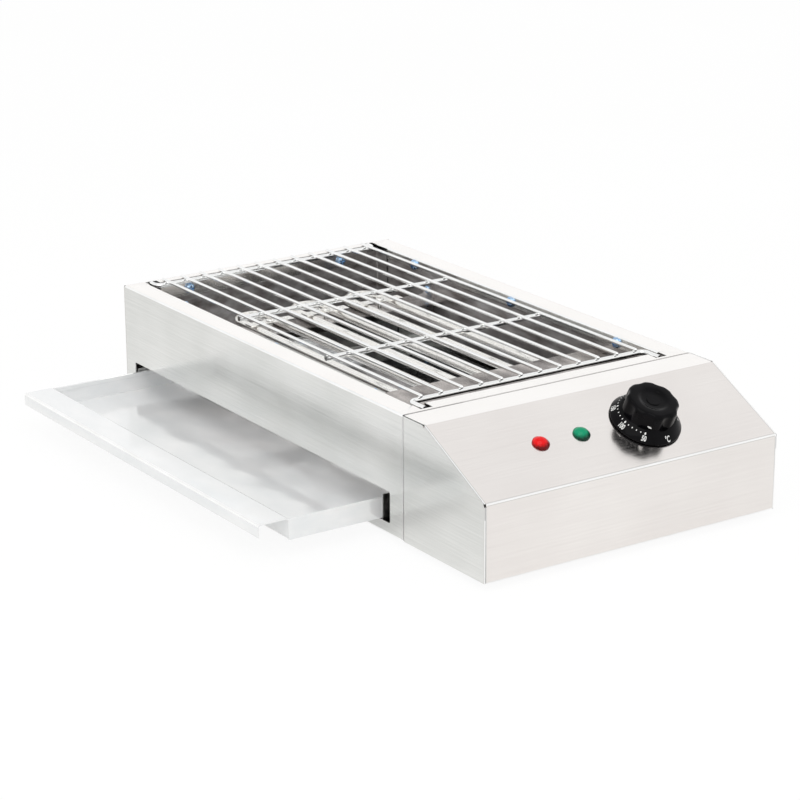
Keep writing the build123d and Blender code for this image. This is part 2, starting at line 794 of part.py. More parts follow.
def grate_rests():
    """Small angle under each notch that carries a turned end of the grate."""
    top = bar_z - bar / 2 - rest_drop
    x0, x1 = -opening_x - 0.5, -opening_x + notch_width + 1
    face = sheet + seam / 2 + 0.05
    front = block(x0, x1, face, front_flange - 1, top - sheet, top)
    front += block(x0, x1, face, face + sheet, top - rest_leg, top)
    back = body_length - sheet - 0.05
    rear = block(x0, x1, liner_y + sheet + 0.1, back, top - sheet, top)
    rear += block(x0, x1, back - sheet, back, top - rest_leg, top)
    return [front, mirrored(front), rear, mirrored(rear)]


# ---- Drip tray and its runners ----
def drip_tray():
    """Folded tray: floor, long walls, short walls and the handle strip."""
    lip = tray_out - handle_reach
    section = folded([(tray_in, tray_rim), (tray_in, tray_floor), (tray_out, tray_floor),
                      (tray_out, tray_rim), (lip, tray_rim), (lip, tray_rim - handle_lip)], Side.RIGHT)
    tray = along_y(section, tray_front, tray_rear)
    wall = block(tray_out + 0.1, tray_in - 0.1, tray_front, tray_front + sheet, tray_floor + 0.1, tray_rim)
    hem = block(tray_out + 3, tray_in - 3, tray_front, tray_front + 2 * sheet, tray_rim - tray_hem, tray_rim)
    tray += wall + hem
    shift = tray_rear - tray_front
    tray += Pos(0, shift - sheet, 0) * wall + Pos(0, shift - 2 * sheet, 0) * hem
    return tray


def runner():
    """Front runner: guide, shelf, web and foot, folded from one strip."""
    back = tray_front - guide_play
    x0, x1 = -inside + 1.0, inside - 1.0
    section = folded([(back, runner_top + guide_rise), (back, runner_top - sheet),
                      (back + runner_shelf, runner_top - sheet)], Side.RIGHT)
    strip = along_x(section, x0, x1)
    web_x = back + runner_shelf
    strip += block(x0, x1, web_x - sheet, web_x, plate_high + 0.05, runner_top)
    strip += block(x0, x1, web_x - sheet, web_x + runner_foot, plate_high + 0.05, plate_high + 0.05 + sheet)
    return strip


def drawer_stop():
    """Angle on the bottom plate that the tray's inner wall meets when it is shut."""
    face = tray_in + tray_pull + guide_play
    section = folded([(face, stop_height), (face, plate_high + 0.05), (inside - 1, plate_high + 0.05)],
                     Side.LEFT)
    return along_y(section, stop_front, stop_rear)


# ---- Knob, thermostat and lamps ----
def knob():
    """Knob in one moulding: dial skirt, fluted grip with a dished top, and hub."""
    low, edge, top = knob_gap, knob_gap + skirt_edge, skirt_top
    inner = skirt_radius - skirt_wall
    section = outline((0, top), (grip_radius - 0.5, top), (skirt_radius, edge), (skirt_radius, low),
                      (inner, low), (inner, low + 0.4), (grip_radius - 4, top - skirt_wall),
                      (0, top - skirt_wall))
    skirt = revolve(Plane.XZ * section, Axis.Z)
    section = Circle(grip_radius) - PolarLocations(flute_place, grip_lobes) * Circle(flute_radius)
    section = fillet(section.vertices(), flute_round)
    grip = extrude(section, amount=grip_top - top)
    grip = chamfer(grip.edges().group_by(Axis.Z)[-1], grip_edge)
    dish = Pos(0, 0, grip_top - top) * Cone(dish_radius - 2, dish_radius, dish_depth,
                                            align=(Align.CENTER, Align.CENTER, Align.MAX))
    grip -= dish
    grip += Pos(0, 0, grip_top - top - dish_depth) * Cylinder(boss_radius, boss_height,
                                                              align=(Align.CENTER, Align.CENTER, Align.MIN))
    body = skirt + Pos(0, 0, top) * grip
    body += Pos(0, 0, low) * Cylinder(hub_radius, top - low, align=(Align.CENTER, Align.CENTER, Align.MIN))
    bore = Cylinder(spindle / 2 + spindle_play, spindle_high + 0.5,
                    align=(Align.CENTER, Align.CENTER, Align.MIN))
    return on_slope(knob_x, knob_s, body - bore)


def thermostat_spindle():
    """Turning spindle of the thermostat, which carries the knob."""
    return on_slope(knob_x, knob_s, Pos(0, 0, (spindle_high - spindle_low) / 2)
                    * Cylinder(spindle / 2, spindle_high + spindle_low))


def thermostat_body():
    """Thermostat case behind the slope, with the spindle's bore and screw holes."""
    top = -sheet - 0.05
    case = Pos(0, 0, top - thermostat_z / 2) * Box(thermostat_x, thermostat_y, thermostat_z)
    case = fillet(case.edges().filter_by(Axis.Z), 3)
    case -= Pos(0, 0, top) * Cylinder(spindle / 2 + spindle_play, 2 * (spindle_low + 0.5))
    for x in (-thermostat_screw_x, thermostat_screw_x):
        case -= Pos(x, 0, top) * Cylinder(m4_hole / 2, 2 * thermostat_screw_length)
    for x in tag_offsets:
        case += Pos(x, 0, top - thermostat_z - tag_length / 2) * Box(6.3, 0.8, tag_length)
    return on_slope(knob_x, knob_s, case)


def thermostat_screws():
    """Two screws that hold the thermostat to the slope, under the knob."""
    screw = pan_screw(m4, m4_head, 2.0, thermostat_screw_length - 0.5)
    return [on_slope(knob_x + x, knob_s, screw) for x in (-thermostat_screw_x, thermostat_screw_x)]


def lamp_lens_shape(x):
    """Domed lens with its rim, on the slope."""
    foot = lamp_lens / 2 - lamp_step
    bow = (foot ** 2 + lamp_dome ** 2) / (2 * lamp_dome)
    section = [(0, 0), (lamp_lens / 2, 0), (lamp_lens / 2, lamp_rim)]
    for i in range(dome_steps):
        reach = foot * (1 - i / dome_steps)
        section.append((reach, lamp_rim + lamp_dome - bow + sqrt(bow ** 2 - reach ** 2)))
    section.append((0, lamp_rim + lamp_dome))
    return on_slope(x, lamp_s, revolve(Plane.XZ * outline(*section), Axis.Z))


def lamp_bodies():
    """Lamp holders behind the lenses, with two tags each."""
    made = []
    for x in (lamp_red_x, lamp_green_x):
        holder = Pos(0, 0, -0.02) * Cylinder(lamp_hole / 2 - lamp_play, lamp_length,
                                             align=(Align.CENTER, Align.CENTER, Align.MAX))
        for side in (-lamp_tag, lamp_tag):
            holder += Pos(side, 0, -lamp_length - (tag_length - 2) / 2) * Box(0.8, 4, tag_length - 2)
        made.append(on_slope(x, lamp_s, holder))
    return made


def lamp_nuts():
    """Ring nut that pulls each lamp against the slope."""
    nut = Pos(0, 0, -sheet - 0.05 - lamp_nut_height) * ring(
        lamp_nut, lamp_hole - 2 * lamp_play + 2 * collar_play, lamp_nut_height)
    return [on_slope(x, lamp_s, nut) for x in (lamp_red_x, lamp_green_x)]


def bulb_and_tube():
    """Sensing bulb beside the elements, and the fine tube that joins it to the thermostat."""
    sensor = rod((bulb_x, bulb_front, bulb_z), (bulb_x, bulb_front + bulb_length, bulb_z), bulb)
    start = slope.from_local_coords(Vector(knob_x + 18.5, -knob_s, -sheet - thermostat_z - 0.1))
    points = [(start.X, start.Y, start.Z), (start.X, start.Y + 6, start.Z - 12), (bulb_x, -30, 44),
              (bulb_x, -12, bulb_z), (bulb_x, bulb_front - 0.05, bulb_z)]
    return sensor, swept(points, capillary, 5, lead_sides)


def bulb_clips():
    """Clips that carry the bulb from the right lining."""
    made = []
    for y in (bulb_front + 14, bulb_front + bulb_length - 14):
        ear = ring(bulb + 3, bulb + 0.2, 8)
        clip = facing(bulb_x, y - 4, bulb_z, (0, 1, 0)).location * ear
        clip += block(bulb_x + bulb / 2 + 0.6, liner_x - 0.05, y - 4, y + 4, bulb_z - 0.6, bulb_z + 0.6)
        clip += block(liner_x - 0.05 - sheet, liner_x - 0.05, y - 4, y + 4, bulb_z - 6, bulb_z + 6)
        made.append(clip)
    return made


# ---- Terminal block, earth stud, cable gland and leads ----
def terminal_block():
    """Ceramic block with a well for each pole."""
    x, y = block_place
    body = block(x - block_x / 2, x + block_x / 2, y - block_y / 2, y + block_y / 2, plate_high + 0.05,
                 plate_high + block_z)
    body = chamfer(body.edges().filter_by(Axis.X).group_by(Axis.Z)[-1], 3)
    for i in range(block_poles):
        pole = x + (i - (block_poles - 1) / 2) * block_pitch
        body -= Pos(pole, y, plate_high + block_z) * Box(10, 12, 2 * clamp_drop)
    return body


def terminal_clamps():
    """Brass clamp and screw in each well of the block."""
    x, y = block_place
    made = []
    for i in range(block_poles):
        pole = x + (i - (block_poles - 1) / 2) * block_pitch
        base = plate_high + block_z - clamp_drop + 0.05
        clamp = Pos(pole, y, base + clamp_sheet / 2) * Box(8, 10, clamp_sheet)
        head = Pos(pole, y, base + clamp_sheet) * ring(clamp_head, 1.0, clamp_head_height)
        made.append(clamp + head)
    return made


def earth_stud():
    """Earth screw through the base, with its nut."""
    x, y = earth_place
    bolt = Pos(x, y, plate_low) * Rot(180, 0, 0) * pan_screw(m4, m4_head, 0.7, 12)
    nut = Pos(x, y, plate_high + eye_sheet + 0.1) * hexagon(m4_nut, m4_nut_height, m4 + 2 * collar_play)
    return [bolt, nut]


def cable_gland():
    """Gland in the right cheek: hexagon, rounded nose and threaded tail, with the cable's bore."""
    place = facing(half, gland_y, gland_z, (1, 0, 0)).location
    head = Pos(0, 0, 0.02) * hexagon(gland_hex, gland_flange)
    nose = Pos(0, 0, gland_flange) * Cone(gland_hex / 2 - 0.6, gland_bore / 2 + 2, gland_nose,
                                          align=(Align.CENTER, Align.CENTER, Align.MIN))
    tail = Cylinder(gland_thread / 2, gland_tail + 0.02, align=(Align.CENTER, Align.CENTER, Align.MAX))
    body = head + nose + Pos(0, 0, 0.02) * tail
    body -= Cylinder(gland_bore / 2, 4 * gland_tail)
    return place * body


def gland_nut():
    """Lock nut of the gland, inside the cheek."""
    place = facing(half - sheet - 0.05, gland_y, gland_z, (-1, 0, 0)).location
    return place * hexagon(gland_hex, 4, gland_thread + 2 * collar_play)


def lead_run(points):
    """An insulated lead bent through its points."""
    return swept(points, lead, lead_bend, lead_sides)


def behind(x, s, depth):
    """A point behind the sloped panel."""
    point = slope.from_local_coords(Vector(x, -s, -depth))
    return (point.X, point.Y, point.Z)


def leads():
    """Live, neutral, earth and lamp leads between the block, links, lamps and thermostat."""
    x, y = block_place
    poles = [x + (i - (block_poles - 1) / 2) * block_pitch for i in range(block_poles)]
    low = plate_high + block_z - clamp_drop + clamp_sheet + 0.1
    back, front = y + lead_place, y - lead_place
    live_z = element_height + link_rise - 0.7
    neutral_z = element_height - link_rise + 3.3
    face = link_y - link_sheet - lead / 2 - 0.2
    case = sheet + thermostat_z + tag_length + 0.15
    holder = lamp_length + tag_length - 2 + 0.15
    tags = [[behind(knob_x + offset, knob_s, case + step) for step in (0, 8)] for offset in tag_offsets]
    lamps = {place: [behind(place, lamp_s, holder + step) for step in (0, 9)]
             for lamp in (lamp_red_x, lamp_green_x) for place in (lamp - lamp_tag, lamp + lamp_tag)}
    red_a, red_b, green_a, green_b = lamps.values()
    live = [lead_run([(poles[2], back, low), (poles[2], back, 34), (tags[0][1][0], -48, 38), tags[0][1],
                      tags[0][0]]),
            lead_run([tags[1][0], tags[1][1], (30, -28, 50), (30, face, live_z - 28), (30, face, live_z)])]
    neutral = [lead_run([(poles[1], back, low), (poles[1], back, 44), (-24, -30, 50),
                         (-24, face, neutral_z - 8), (-24, face, neutral_z)])]
    stud_x, stud_y = earth_place
    earth = lead_run([(poles[0], back, low), (poles[0], back, 34), (stud_x + 8, stud_y, 34),
                      (stud_x + 8, stud_y, plate_high + 0.3)])
    eye = Pos(stud_x, stud_y, plate_high + 0.05) * (ring(m4_nut, m4_hole, eye_sheet)
                                                    + block(3, 9.5, -1.2, 1.2, 0, eye_sheet))
    lamp = [lead_run([red_a[0], red_a[1], (poles[1], front, 34), (poles[1], front, low)]),
            lead_run([red_b[0], red_b[1], (poles[2], front, 34), (poles[2], front, low)]),
            lead_run([green_a[0], green_a[1], (-14, -32, 42), (-14, face, neutral_z - 14),
                      (-14, face, neutral_z - 2)]),
            lead_run([green_b[0], green_b[1], (0, -42, 43), (42, -44, 43), tags[2][1], tags[2][0]])]
    return live, neutral, [earth + eye], lamp


# ---- Assembly ----
keep("side_panel_left", left_panel())
keep("side_panel_right", mirrored(side_panel()))
keep("bulkhead", bulkhead())
keep("rear_panel", rear_panel())
keep("control_cover", control_cover())
keep("bottom_plate", plate(seam / 2 + bend + fold_play, body_length - bend - fold_play, plate_screw_ys))
keep("control_base", control_base())
keep("rubber_feet", feet())
keep("foot_screws", foot_screws())
keep("plate_screws", plate_screws())
keep("liner_left", side_liner())
keep("liner_right", mirrored(side_liner()))
keep("liner_rear", rear_liner())
keep("liner_bolts", liner_bolts())
keep("element_cover", element_cover())
for number, place in enumerate(element_xs, 1):
    keep(f"heating_element_{number}", heating_element(place))
keep("element_collars", element_collars())
keep("collar_nuts", collar_nuts())
keep("element_beads", element_beads())
keep("element_pins", element_pins())
keep("link_live", link(leg_xs()[0::2], 1))
keep("link_neutral", link(leg_xs()[1::2], -1))
keep("pin_nuts", pin_nuts())
keep("element_support", element_support())
keep("element_straps", element_straps())
keep("strap_screws", strap_screws())
keep("support_bolts", support_bolts())
keep("grate_rests", grate_rests())
keep("grate_wires", grate_wires())
keep("grate_bar_front", end_bar(bar_places["front"], grate_foot_front))
keep("grate_bar_rear", end_bar(bar_places["rear"], grate_foot_rear))
for name in ("middle_front", "middle_rear"):
    spot = bar_places[name]
    keep(f"grate_bar_{name}", rod((-middle_reach, spot, bar_z), (middle_reach, spot, bar_z), bar))
keep("runner_front", runner())
keep("runner_rear", mirror(runner(), about=Plane.XZ.offset(-(tray_front + tray_rear) / 2)))
keep("drawer_stop", drawer_stop())
keep("drip_tray", drip_tray())
keep("knob", knob())
keep("thermostat_spindle", thermostat_spindle())
keep("thermostat_body", thermostat_body())
keep("thermostat_screws", thermostat_screws())
keep("lamp_lens_red", lamp_lens_shape(lamp_red_x))
keep("lamp_lens_green", lamp_lens_shape(lamp_green_x))
keep("lamp_bodies", lamp_bodies())
keep("lamp_nuts", lamp_nuts())
sensor_bulb, sensor_tube = bulb_and_tube()
keep("sensor_bulb", sensor_bulb)
keep("sensor_tube", sensor_tube)
keep("bulb_clips", bulb_clips())
keep("terminal_block", terminal_block())
keep("terminal_clamps", terminal_clamps())
keep("earth_stud", earth_stud())
keep("cable_gland", cable_gland())
keep("gland_nut", gland_nut())
live_leads, neutral_leads, earth_leads, lamp_leads = leads()
keep("leads_live", live_leads)
keep("lead_neutral", neutral_leads)
keep("lead_earth", earth_leads)
keep("leads_lamps", lamp_leads)

# The part's origin is the middle of its footprint on the surface it stands on.
outermost = [pieces[name][0] for name in ("drip_tray", "cable_gland", "control_cover", "rear_panel")]
footprint = Compound(children=outermost).bounding_box()
origin = Vector((footprint.min.X + footprint.max.X) / 2, (footprint.min.Y + footprint.max.Y) / 2,
                -foot_height)
shift = Pos(-origin.X, -origin.Y, -origin.Z)

os.makedirs("parts", exist_ok=True)
for name, group in pieces.items():
    solids = [solid for piece in group for solid in (shift * piece).solids()]
    export_step(solids[0] if len(solids) == 1 else Compound(children=solids), f"parts/{name}.step")

print("origin", origin)
print("footprint", footprint.size)
print("knob pivot", shift * Pos(*slope.from_local_coords(Vector(knob_x, -knob_s, 0))))
print("knob axis", slope.z_dir, "turns back", knob_turn)
print("tray travel", -tray_pull, "to", tray_depth - tray_pull - tray_keep)
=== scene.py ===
from math import atan2, cos, exp, log, pi, radians, sin, sqrt

import bmesh
import bpy
from mathutils import Matrix, Vector


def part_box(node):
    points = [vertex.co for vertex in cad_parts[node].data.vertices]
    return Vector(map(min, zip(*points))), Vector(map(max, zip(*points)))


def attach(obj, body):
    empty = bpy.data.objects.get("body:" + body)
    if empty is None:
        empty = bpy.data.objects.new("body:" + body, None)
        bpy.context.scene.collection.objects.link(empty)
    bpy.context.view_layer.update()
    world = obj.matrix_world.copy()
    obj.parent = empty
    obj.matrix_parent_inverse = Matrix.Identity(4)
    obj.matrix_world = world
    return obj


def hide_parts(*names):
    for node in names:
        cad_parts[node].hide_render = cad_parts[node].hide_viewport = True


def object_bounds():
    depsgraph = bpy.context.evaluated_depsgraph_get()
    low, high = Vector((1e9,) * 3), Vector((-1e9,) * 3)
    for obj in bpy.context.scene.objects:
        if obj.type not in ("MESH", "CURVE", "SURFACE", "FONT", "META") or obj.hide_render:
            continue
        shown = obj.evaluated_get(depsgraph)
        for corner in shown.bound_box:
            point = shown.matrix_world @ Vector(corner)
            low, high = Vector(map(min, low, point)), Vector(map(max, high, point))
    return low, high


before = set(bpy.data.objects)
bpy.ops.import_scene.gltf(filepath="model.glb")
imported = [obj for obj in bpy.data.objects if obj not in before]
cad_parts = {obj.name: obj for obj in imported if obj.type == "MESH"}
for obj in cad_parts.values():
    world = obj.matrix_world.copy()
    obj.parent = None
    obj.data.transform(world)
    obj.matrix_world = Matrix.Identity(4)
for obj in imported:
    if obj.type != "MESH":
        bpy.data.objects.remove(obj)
cad_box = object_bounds()
scene = bpy.context.scene

# ---------------------------------------------------------------------------
# Outer shell: stainless sheet 0.8 mm, ground with a belt before it was folded.
# Every panel is one blank. The scratches run along the panel, so reflections
# smear across them, and the folds are smooth.
# ---------------------------------------------------------------------------
mm = 0.001
body_length = 441.0
shell_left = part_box("side_panel_left")
shell_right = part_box("side_panel_right")
middle_x = (shell_left[0].x + shell_right[1].x) / 2
seam_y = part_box("rear_panel")[1].y - body_length * mm
base_z = shell_left[0].z
body_height = (shell_left[1].z - shell_left[0].z) / mm
half_width = (shell_right[1].x - shell_left[0].x) / 2 / mm
slope_top_y = -28.5
slope_foot_y = -107.0
slope_foot_z = 62.5
slope_angle = atan2(body_height - slope_foot_z, slope_top_y - slope_foot_y)
scratch_width = 0.8           # the belt's lines are near 0.05 mm; drawn coarser, so that they show
scratch_length = 70.0
sheet_cloud = 80.0
fold_cloud = 25.0
joint_shade_grain = (8.0, 2.0, 2.0)
fold_highlight_half_width = 0.85             # half width of the painted highlight line along a fold
shine_fade = 0.2
fold_shade_reach = 1.8                # a painted shade line, darker grey, lies outside it, to this distance
mark_fade = 0.6
weld_gap = 0.002              # corners nearer than this are one
flat_angle = 0.5              # faces that meet at less than this angle are one
cut_angle = 40.0              # an edge that turns further than this is a cut one
cut_edge = 0.25               # how far a cut edge is eased
long_edge = 6.0               # shorter edges stay as they are
soft_angle = 24.0             # the shading is smooth up to this angle
side_share = 0.9              # how much of a side's normal lies across the body
level_share = 0.97            # how much of a level face's normal is upright
flat_share = 0.985            # how much of any flat face's normal lies along one direction
forward_share = 0.05          # a face looks forward if its normal leans this far


def at(x, y, z):
    """A place counted in millimetres from the body's middle, its front seam and its lower edge."""
    return Vector((middle_x + x * mm, seam_y + y * mm, base_z + z * mm))


def linear(colour):
    """sRGB hex to the linear values that are mixed."""
    parts = [int(colour[i:i + 2], 16) / 255 for i in (1, 3, 5)]
    return tuple(c / 12.92 if c <= 0.04045 else ((c + 0.055) / 1.055) ** 2.4 for c in parts) + (1.0,)


def add(tree, kind, inputs=None, **settings):
    """Adds a node with its settings; an input takes a value or another node's output."""
    made = tree.nodes.new(kind)
    for key, value in settings.items():
        setattr(made, key, value)
    for key, value in (inputs or {}).items():
        if isinstance(value, bpy.types.NodeSocket):
            tree.links.new(value, made.inputs[key])
        else:
            made.inputs[key].default_value = value
    return made


def new_material(name, values):
    """A material with a Principled surface, and its tree."""
    material = bpy.data.materials.new(name)
    material.use_nodes = True
    tree = material.node_tree
    tree.nodes.clear()
    surface = add(tree, "ShaderNodeBsdfPrincipled", values)
    add(tree, "ShaderNodeOutputMaterial", {"Surface": surface.outputs[0]})
    return material, tree


def drive(tree, socket, output):
    """Links an output to the surface."""
    tree.links.new(output, tree.nodes["Principled BSDF"].inputs[socket])


def grain(tree, size, detail=3.0, roughness=0.5):
    """Noise on the object's own coordinates; size is one unit of it in millimetres, along x, y and z."""
    place = add(tree, "ShaderNodeTexCoord")
    scale = tuple(1 / (s * mm) for s in size)
    stretched = add(tree, "ShaderNodeMapping", {"Vector": place.outputs["Object"], "Scale": scale})
    return add(tree, "ShaderNodeTexNoise", {"Vector": stretched.outputs[0], "Scale": 1.0, "Detail": detail,
                                            "Roughness": roughness}).outputs[0]


def spread(tree, pattern, low, high):
    """Turns a pattern's usual range into low to high."""
    return add(tree, "ShaderNodeMapRange", {"Value": pattern, "From Min": 0.3, "From Max": 0.7, "To Min": low,
                                            "To Max": high}).outputs[0]


def between(tree, pattern, dark, light):
    """Mixes two colours by a pattern."""
    ramp = add(tree, "ShaderNodeValToRGB", {"Fac": pattern})
    for stop, place, colour in zip(ramp.color_ramp.elements, (0.3, 0.7), (dark, light)):
        stop.position = place
        stop.color = linear(colour)
    return ramp.outputs[0]


def relief(tree, pattern, depth, strength=1.0):
    """Bump of a pattern, its depth in millimetres."""
    bump = add(tree, "ShaderNodeBump", {"Height": pattern, "Strength": strength, "Distance": depth * mm})
    drive(tree, "Normal", bump.outputs[0])


def patterned(name, values, size, dark, light, gloss=None, bump=None, detail=3.0):
    """A material with one pattern in its colour and, if given, in its roughness and its bump."""
    material, tree = new_material(name, values)
    pattern = grain(tree, size, detail)
    drive(tree, "Base Color", between(tree, pattern, dark, light))
    if gloss:
        drive(tree, "Roughness", spread(tree, pattern, *gloss))
    if bump:
        relief(tree, pattern, *bump)
    return material


def reach_of_lines(tree, lines):
    """Distance in millimetres to the nearest of some straight lines, each a point and a direction."""
    place = add(tree, "ShaderNodeTexCoord").outputs["Object"]
    nearest = 1.0
    for point, way in lines:
        off = add(tree, "ShaderNodeVectorMath", {0: place, 1: point}, operation="SUBTRACT")
        across = add(tree, "ShaderNodeVectorMath", {0: off.outputs[0], 1: way}, operation="CROSS_PRODUCT")
        away = add(tree, "ShaderNodeVectorMath", {0: across.outputs[0]}, operation="LENGTH").outputs["Value"]
        nearest = add(tree, "ShaderNodeMath", {0: away, 1: nearest}, operation="MINIMUM").outputs[0]
    return add(tree, "ShaderNodeMath", {0: nearest, 1: 1 / mm}, operation="MULTIPLY").outputs[0]


def within(tree, distance, full, none):
    """One nearer than a distance, nothing past another."""
    return add(tree, "ShaderNodeMapRange", {"Value": distance, "From Min": none, "From Max": full}).outputs[0]


def mixed(tree, factor, first, second):
    """Mixes two colours or colour outputs."""
    return add(tree, "ShaderNodeMix", {0: factor, 6: first, 7: second}, data_type="RGBA").outputs[2]


def brushed(name, light, dark, along, across, rough, folds=()):
    """Belt-ground stainless: lines along one axis, gloss that smears across them, a faint cloudiness, and along
    given folds a painted highlight line with a painted shade line beside it.
    """
    material, tree = new_material(name, {"Metallic": 1.0, "Anisotropic": 0.6})
    size = [scratch_width] * 3
    size["xyz".index(along)] = scratch_length
    lines = grain(tree, size, 4.0, 0.6)
    cloud = grain(tree, (sheet_cloud,) * 3, 2.0)
    both = add(tree, "ShaderNodeMath", {0: lines, 1: cloud}, operation="ADD")
    mean = add(tree, "ShaderNodeMath", {0: both.outputs[0], 1: 0.5}, operation="MULTIPLY")
    colour = between(tree, mean.outputs[0], dark, light)
    if folds:
        # Painted highlight: a white line along each fold; painted shade: a darker grey line just outside it.
        distance = reach_of_lines(tree, folds)
        fold_shade_line = within(tree, distance, fold_shade_reach - mark_fade, fold_shade_reach)
        fold_highlight_line = within(tree, distance, fold_highlight_half_width - shine_fade, fold_highlight_half_width + shine_fade)
        colour = mixed(tree, fold_highlight_line, mixed(tree, fold_shade_line, colour, linear("#D9D7D4")), linear("#FFFFFF"))
    drive(tree, "Base Color", colour)
    drive(tree, "Roughness", spread(tree, lines, rough - 0.03, rough + 0.05))
    relief(tree, lines, 0.004, 0.35)
    turned = add(tree, "ShaderNodeVectorTransform", {"Vector": across}, vector_type="VECTOR",
                 convert_from="OBJECT", convert_to="WORLD")
    drive(tree, "Tangent", turned.outputs[0])
    return material


def soften(mesh, angle=soft_angle):
    """Smooth shading that stays sharp past an angle."""
    mesh.polygons.foreach_set("use_smooth", [True] * len(mesh.polygons))
    mesh.set_sharp_from_angle(angle=radians(angle))


def link_new(name, data):
    """A new object in the scene, at the origin."""
    made = bpy.data.objects.new(name, data)
    scene.collection.objects.link(made)
    return made


def place_piece(piece, body, slot, *nodes):
    """Puts a finished piece on its body and hides the drawn pieces that it stands for; slot is not used."""
    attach(piece, body)
    if nodes:
        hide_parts(*nodes)


def cheek(face):
    """Faces of the upright sides."""
    return abs(face.normal.x) > side_share


def level(face):
    """Faces that look straight up."""
    return face.normal.z > level_share


def fold(face):
    """Long narrow faces between two flat ones."""
    flat = max(abs(part) for part in face.normal) > flat_share or face.normal.dot(slope_normal) > flat_share
    return not flat and max(edge.calc_length() for edge in face.edges) > long_edge * mm


def joint(face):
    """The part of a fold that looks forward, into the joint or the chamber before it."""
    return fold(face) and face.normal.y < -forward_share


def open_fold(face):
    """The rest of such a fold."""
    return fold(face) and not joint(face)


def dress(node, material, slot, body="body", zones=()):
    """A drawn sheet, welded and smoothed; zones have finishes of their own, the first also on its edges."""
    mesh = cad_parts[node].data.copy()
    mesh.name = node + "_finished"
    work = bmesh.new()
    work.from_mesh(mesh)
    bmesh.ops.remove_doubles(work, verts=work.verts, dist=weld_gap * mm)
    if zones:
        bmesh.ops.dissolve_limit(work, angle_limit=radians(flat_angle), verts=work.verts, edges=work.edges)
    work.normal_update()
    for face in work.faces:
        face.material_index = next((i for i, (_, inside) in enumerate(zones, 1) if inside(face)), 0)
    if zones:
        cut = [edge for edge in work.edges if len(edge.link_faces) == 2
               and edge.calc_length() > long_edge * mm and edge.calc_face_angle() > radians(cut_angle)]
        bmesh.ops.bevel(work, geom=cut, offset=cut_edge * mm, offset_type="OFFSET", segments=1, profile=0.5,
                        affect="EDGES", clamp_overlap=False, material=1)
    mesh.materials.clear()
    for each in [material] + [finish for finish, _ in zones]:
        mesh.materials.append(each)
    work.to_mesh(mesh)
    work.free()
    soften(mesh)
    piece = link_new(node + "_finished", mesh)
    even = piece.modifiers.new("even_normals", "WEIGHTED_NORMAL")
    even.keep_sharp = True
    even.weight = 90
    place_piece(piece, body, slot, node)


def coat(node, material):
    """A drawn piece that keeps its mesh and takes a finish."""
    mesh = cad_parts[node].data
    if mesh.materials:
        mesh.materials[0] = material
    else:
        mesh.materials.append(material)


slope_normal = Vector((0, -sin(slope_angle), cos(slope_angle)))
upright = Vector((0, 0, 1))
fold_lines = [(at(0, slope_foot_y, slope_foot_z), Vector((1, 0, 0)))]
for side in (-half_width, half_width):
    fold_lines += [(at(side, 0, 0), upright), (at(side, slope_foot_y, 0), upright),
                   (at(side, slope_foot_y, slope_foot_z), Vector((0, cos(slope_angle), sin(slope_angle))))]
# Painted light: the one steel is drawn in lit and shaded copies, whitest on the flanges looking up, a little
# darker on front, slope and rear, greyest on the upright sides.
shaded_side_light = "#EFEFED"
shaded_side_dark = "#D7D8D5"
lit_flange_light = "#FDFBF9"
lit_flange_dark = "#F6F3F0"
cover_steel = brushed("belt_ground_stainless_cover", "#F5F1EE", "#EBE6E3", "x", (0, 1, 1), 0.17, fold_lines)
rear_steel = brushed("belt_ground_stainless_rear", "#F2EFEC", "#E8E5E2", "x", (0, -1, 1), 0.17)
left_steel = brushed("belt_ground_stainless_left", shaded_side_light, shaded_side_dark, "y", (1, 0, 1), 0.15, fold_lines)
right_steel = brushed("belt_ground_stainless_right", shaded_side_light, shaded_side_dark, "y", (-1, 0, 1), 0.15, fold_lines)
cross_flange = brushed("belt_ground_stainless_cross_flange", lit_flange_light, lit_flange_dark, "x", (0, 1, 0), 0.2)
long_flange = brushed("belt_ground_stainless_long_flange", lit_flange_light, lit_flange_dark, "y", (1, 0, 0), 0.2)

# A fold is stretched smooth by the press brake and a cut edge is eased with a stone; both get a near-white base,
# a painted highlight along every bend and edge.
painted_fold_highlight = patterned("stainless_fold_painted_highlight", {"Metallic": 1.0}, (fold_cloud,) * 3, "#F6F6F5", "#FFFFFF",
                    gloss=(0.1, 0.16), detail=2.0)
# Painted shade: the forward-looking faces of the front and rear folds are near black, for the shadow in the joint
# before the front flange and under the rear one.
joint_shade = patterned("joint_painted_shade", {"Roughness": 0.7}, joint_shade_grain, "#121211", "#2B2A29")

dress("control_cover", cover_steel, "stainless",
      zones=((painted_fold_highlight, fold), (left_steel, cheek), (cross_flange, level)))
for node, steel in (("bulkhead", cover_steel), ("rear_panel", rear_steel)):
    dress(node, steel, "stainless", zones=((painted_fold_highlight, open_fold), (joint_shade, joint), (cross_flange, level)))
for node, steel in (("side_panel_left", left_steel), ("side_panel_right", right_steel)):
    dress(node, steel, "stainless", zones=((painted_fold_highlight, fold), (long_flange, level)))

# ---------------------------------------------------------------------------
# Bottom plates, runners, links and brackets: the same sheet as it leaves the
# mill, greyer and duller, cut and folded but never ground.
# ---------------------------------------------------------------------------
mill_mottle = (4.0, 12.0, 4.0)
mill_dark = "#B2B3B2"
mill_light = "#C8C8C6"
bottom_shade_cloud = 45.0
mill_steel = patterned("mill_finish_stainless", {"Metallic": 1.0}, mill_mottle, mill_dark, mill_light,
                       gloss=(0.3, 0.42), detail=4.0)
for node in ("control_base", "runner_front", "runner_rear", "drawer_stop", "grate_rests",
             "bulb_clips", "link_live", "link_neutral"):
    coat(node, mill_steel)

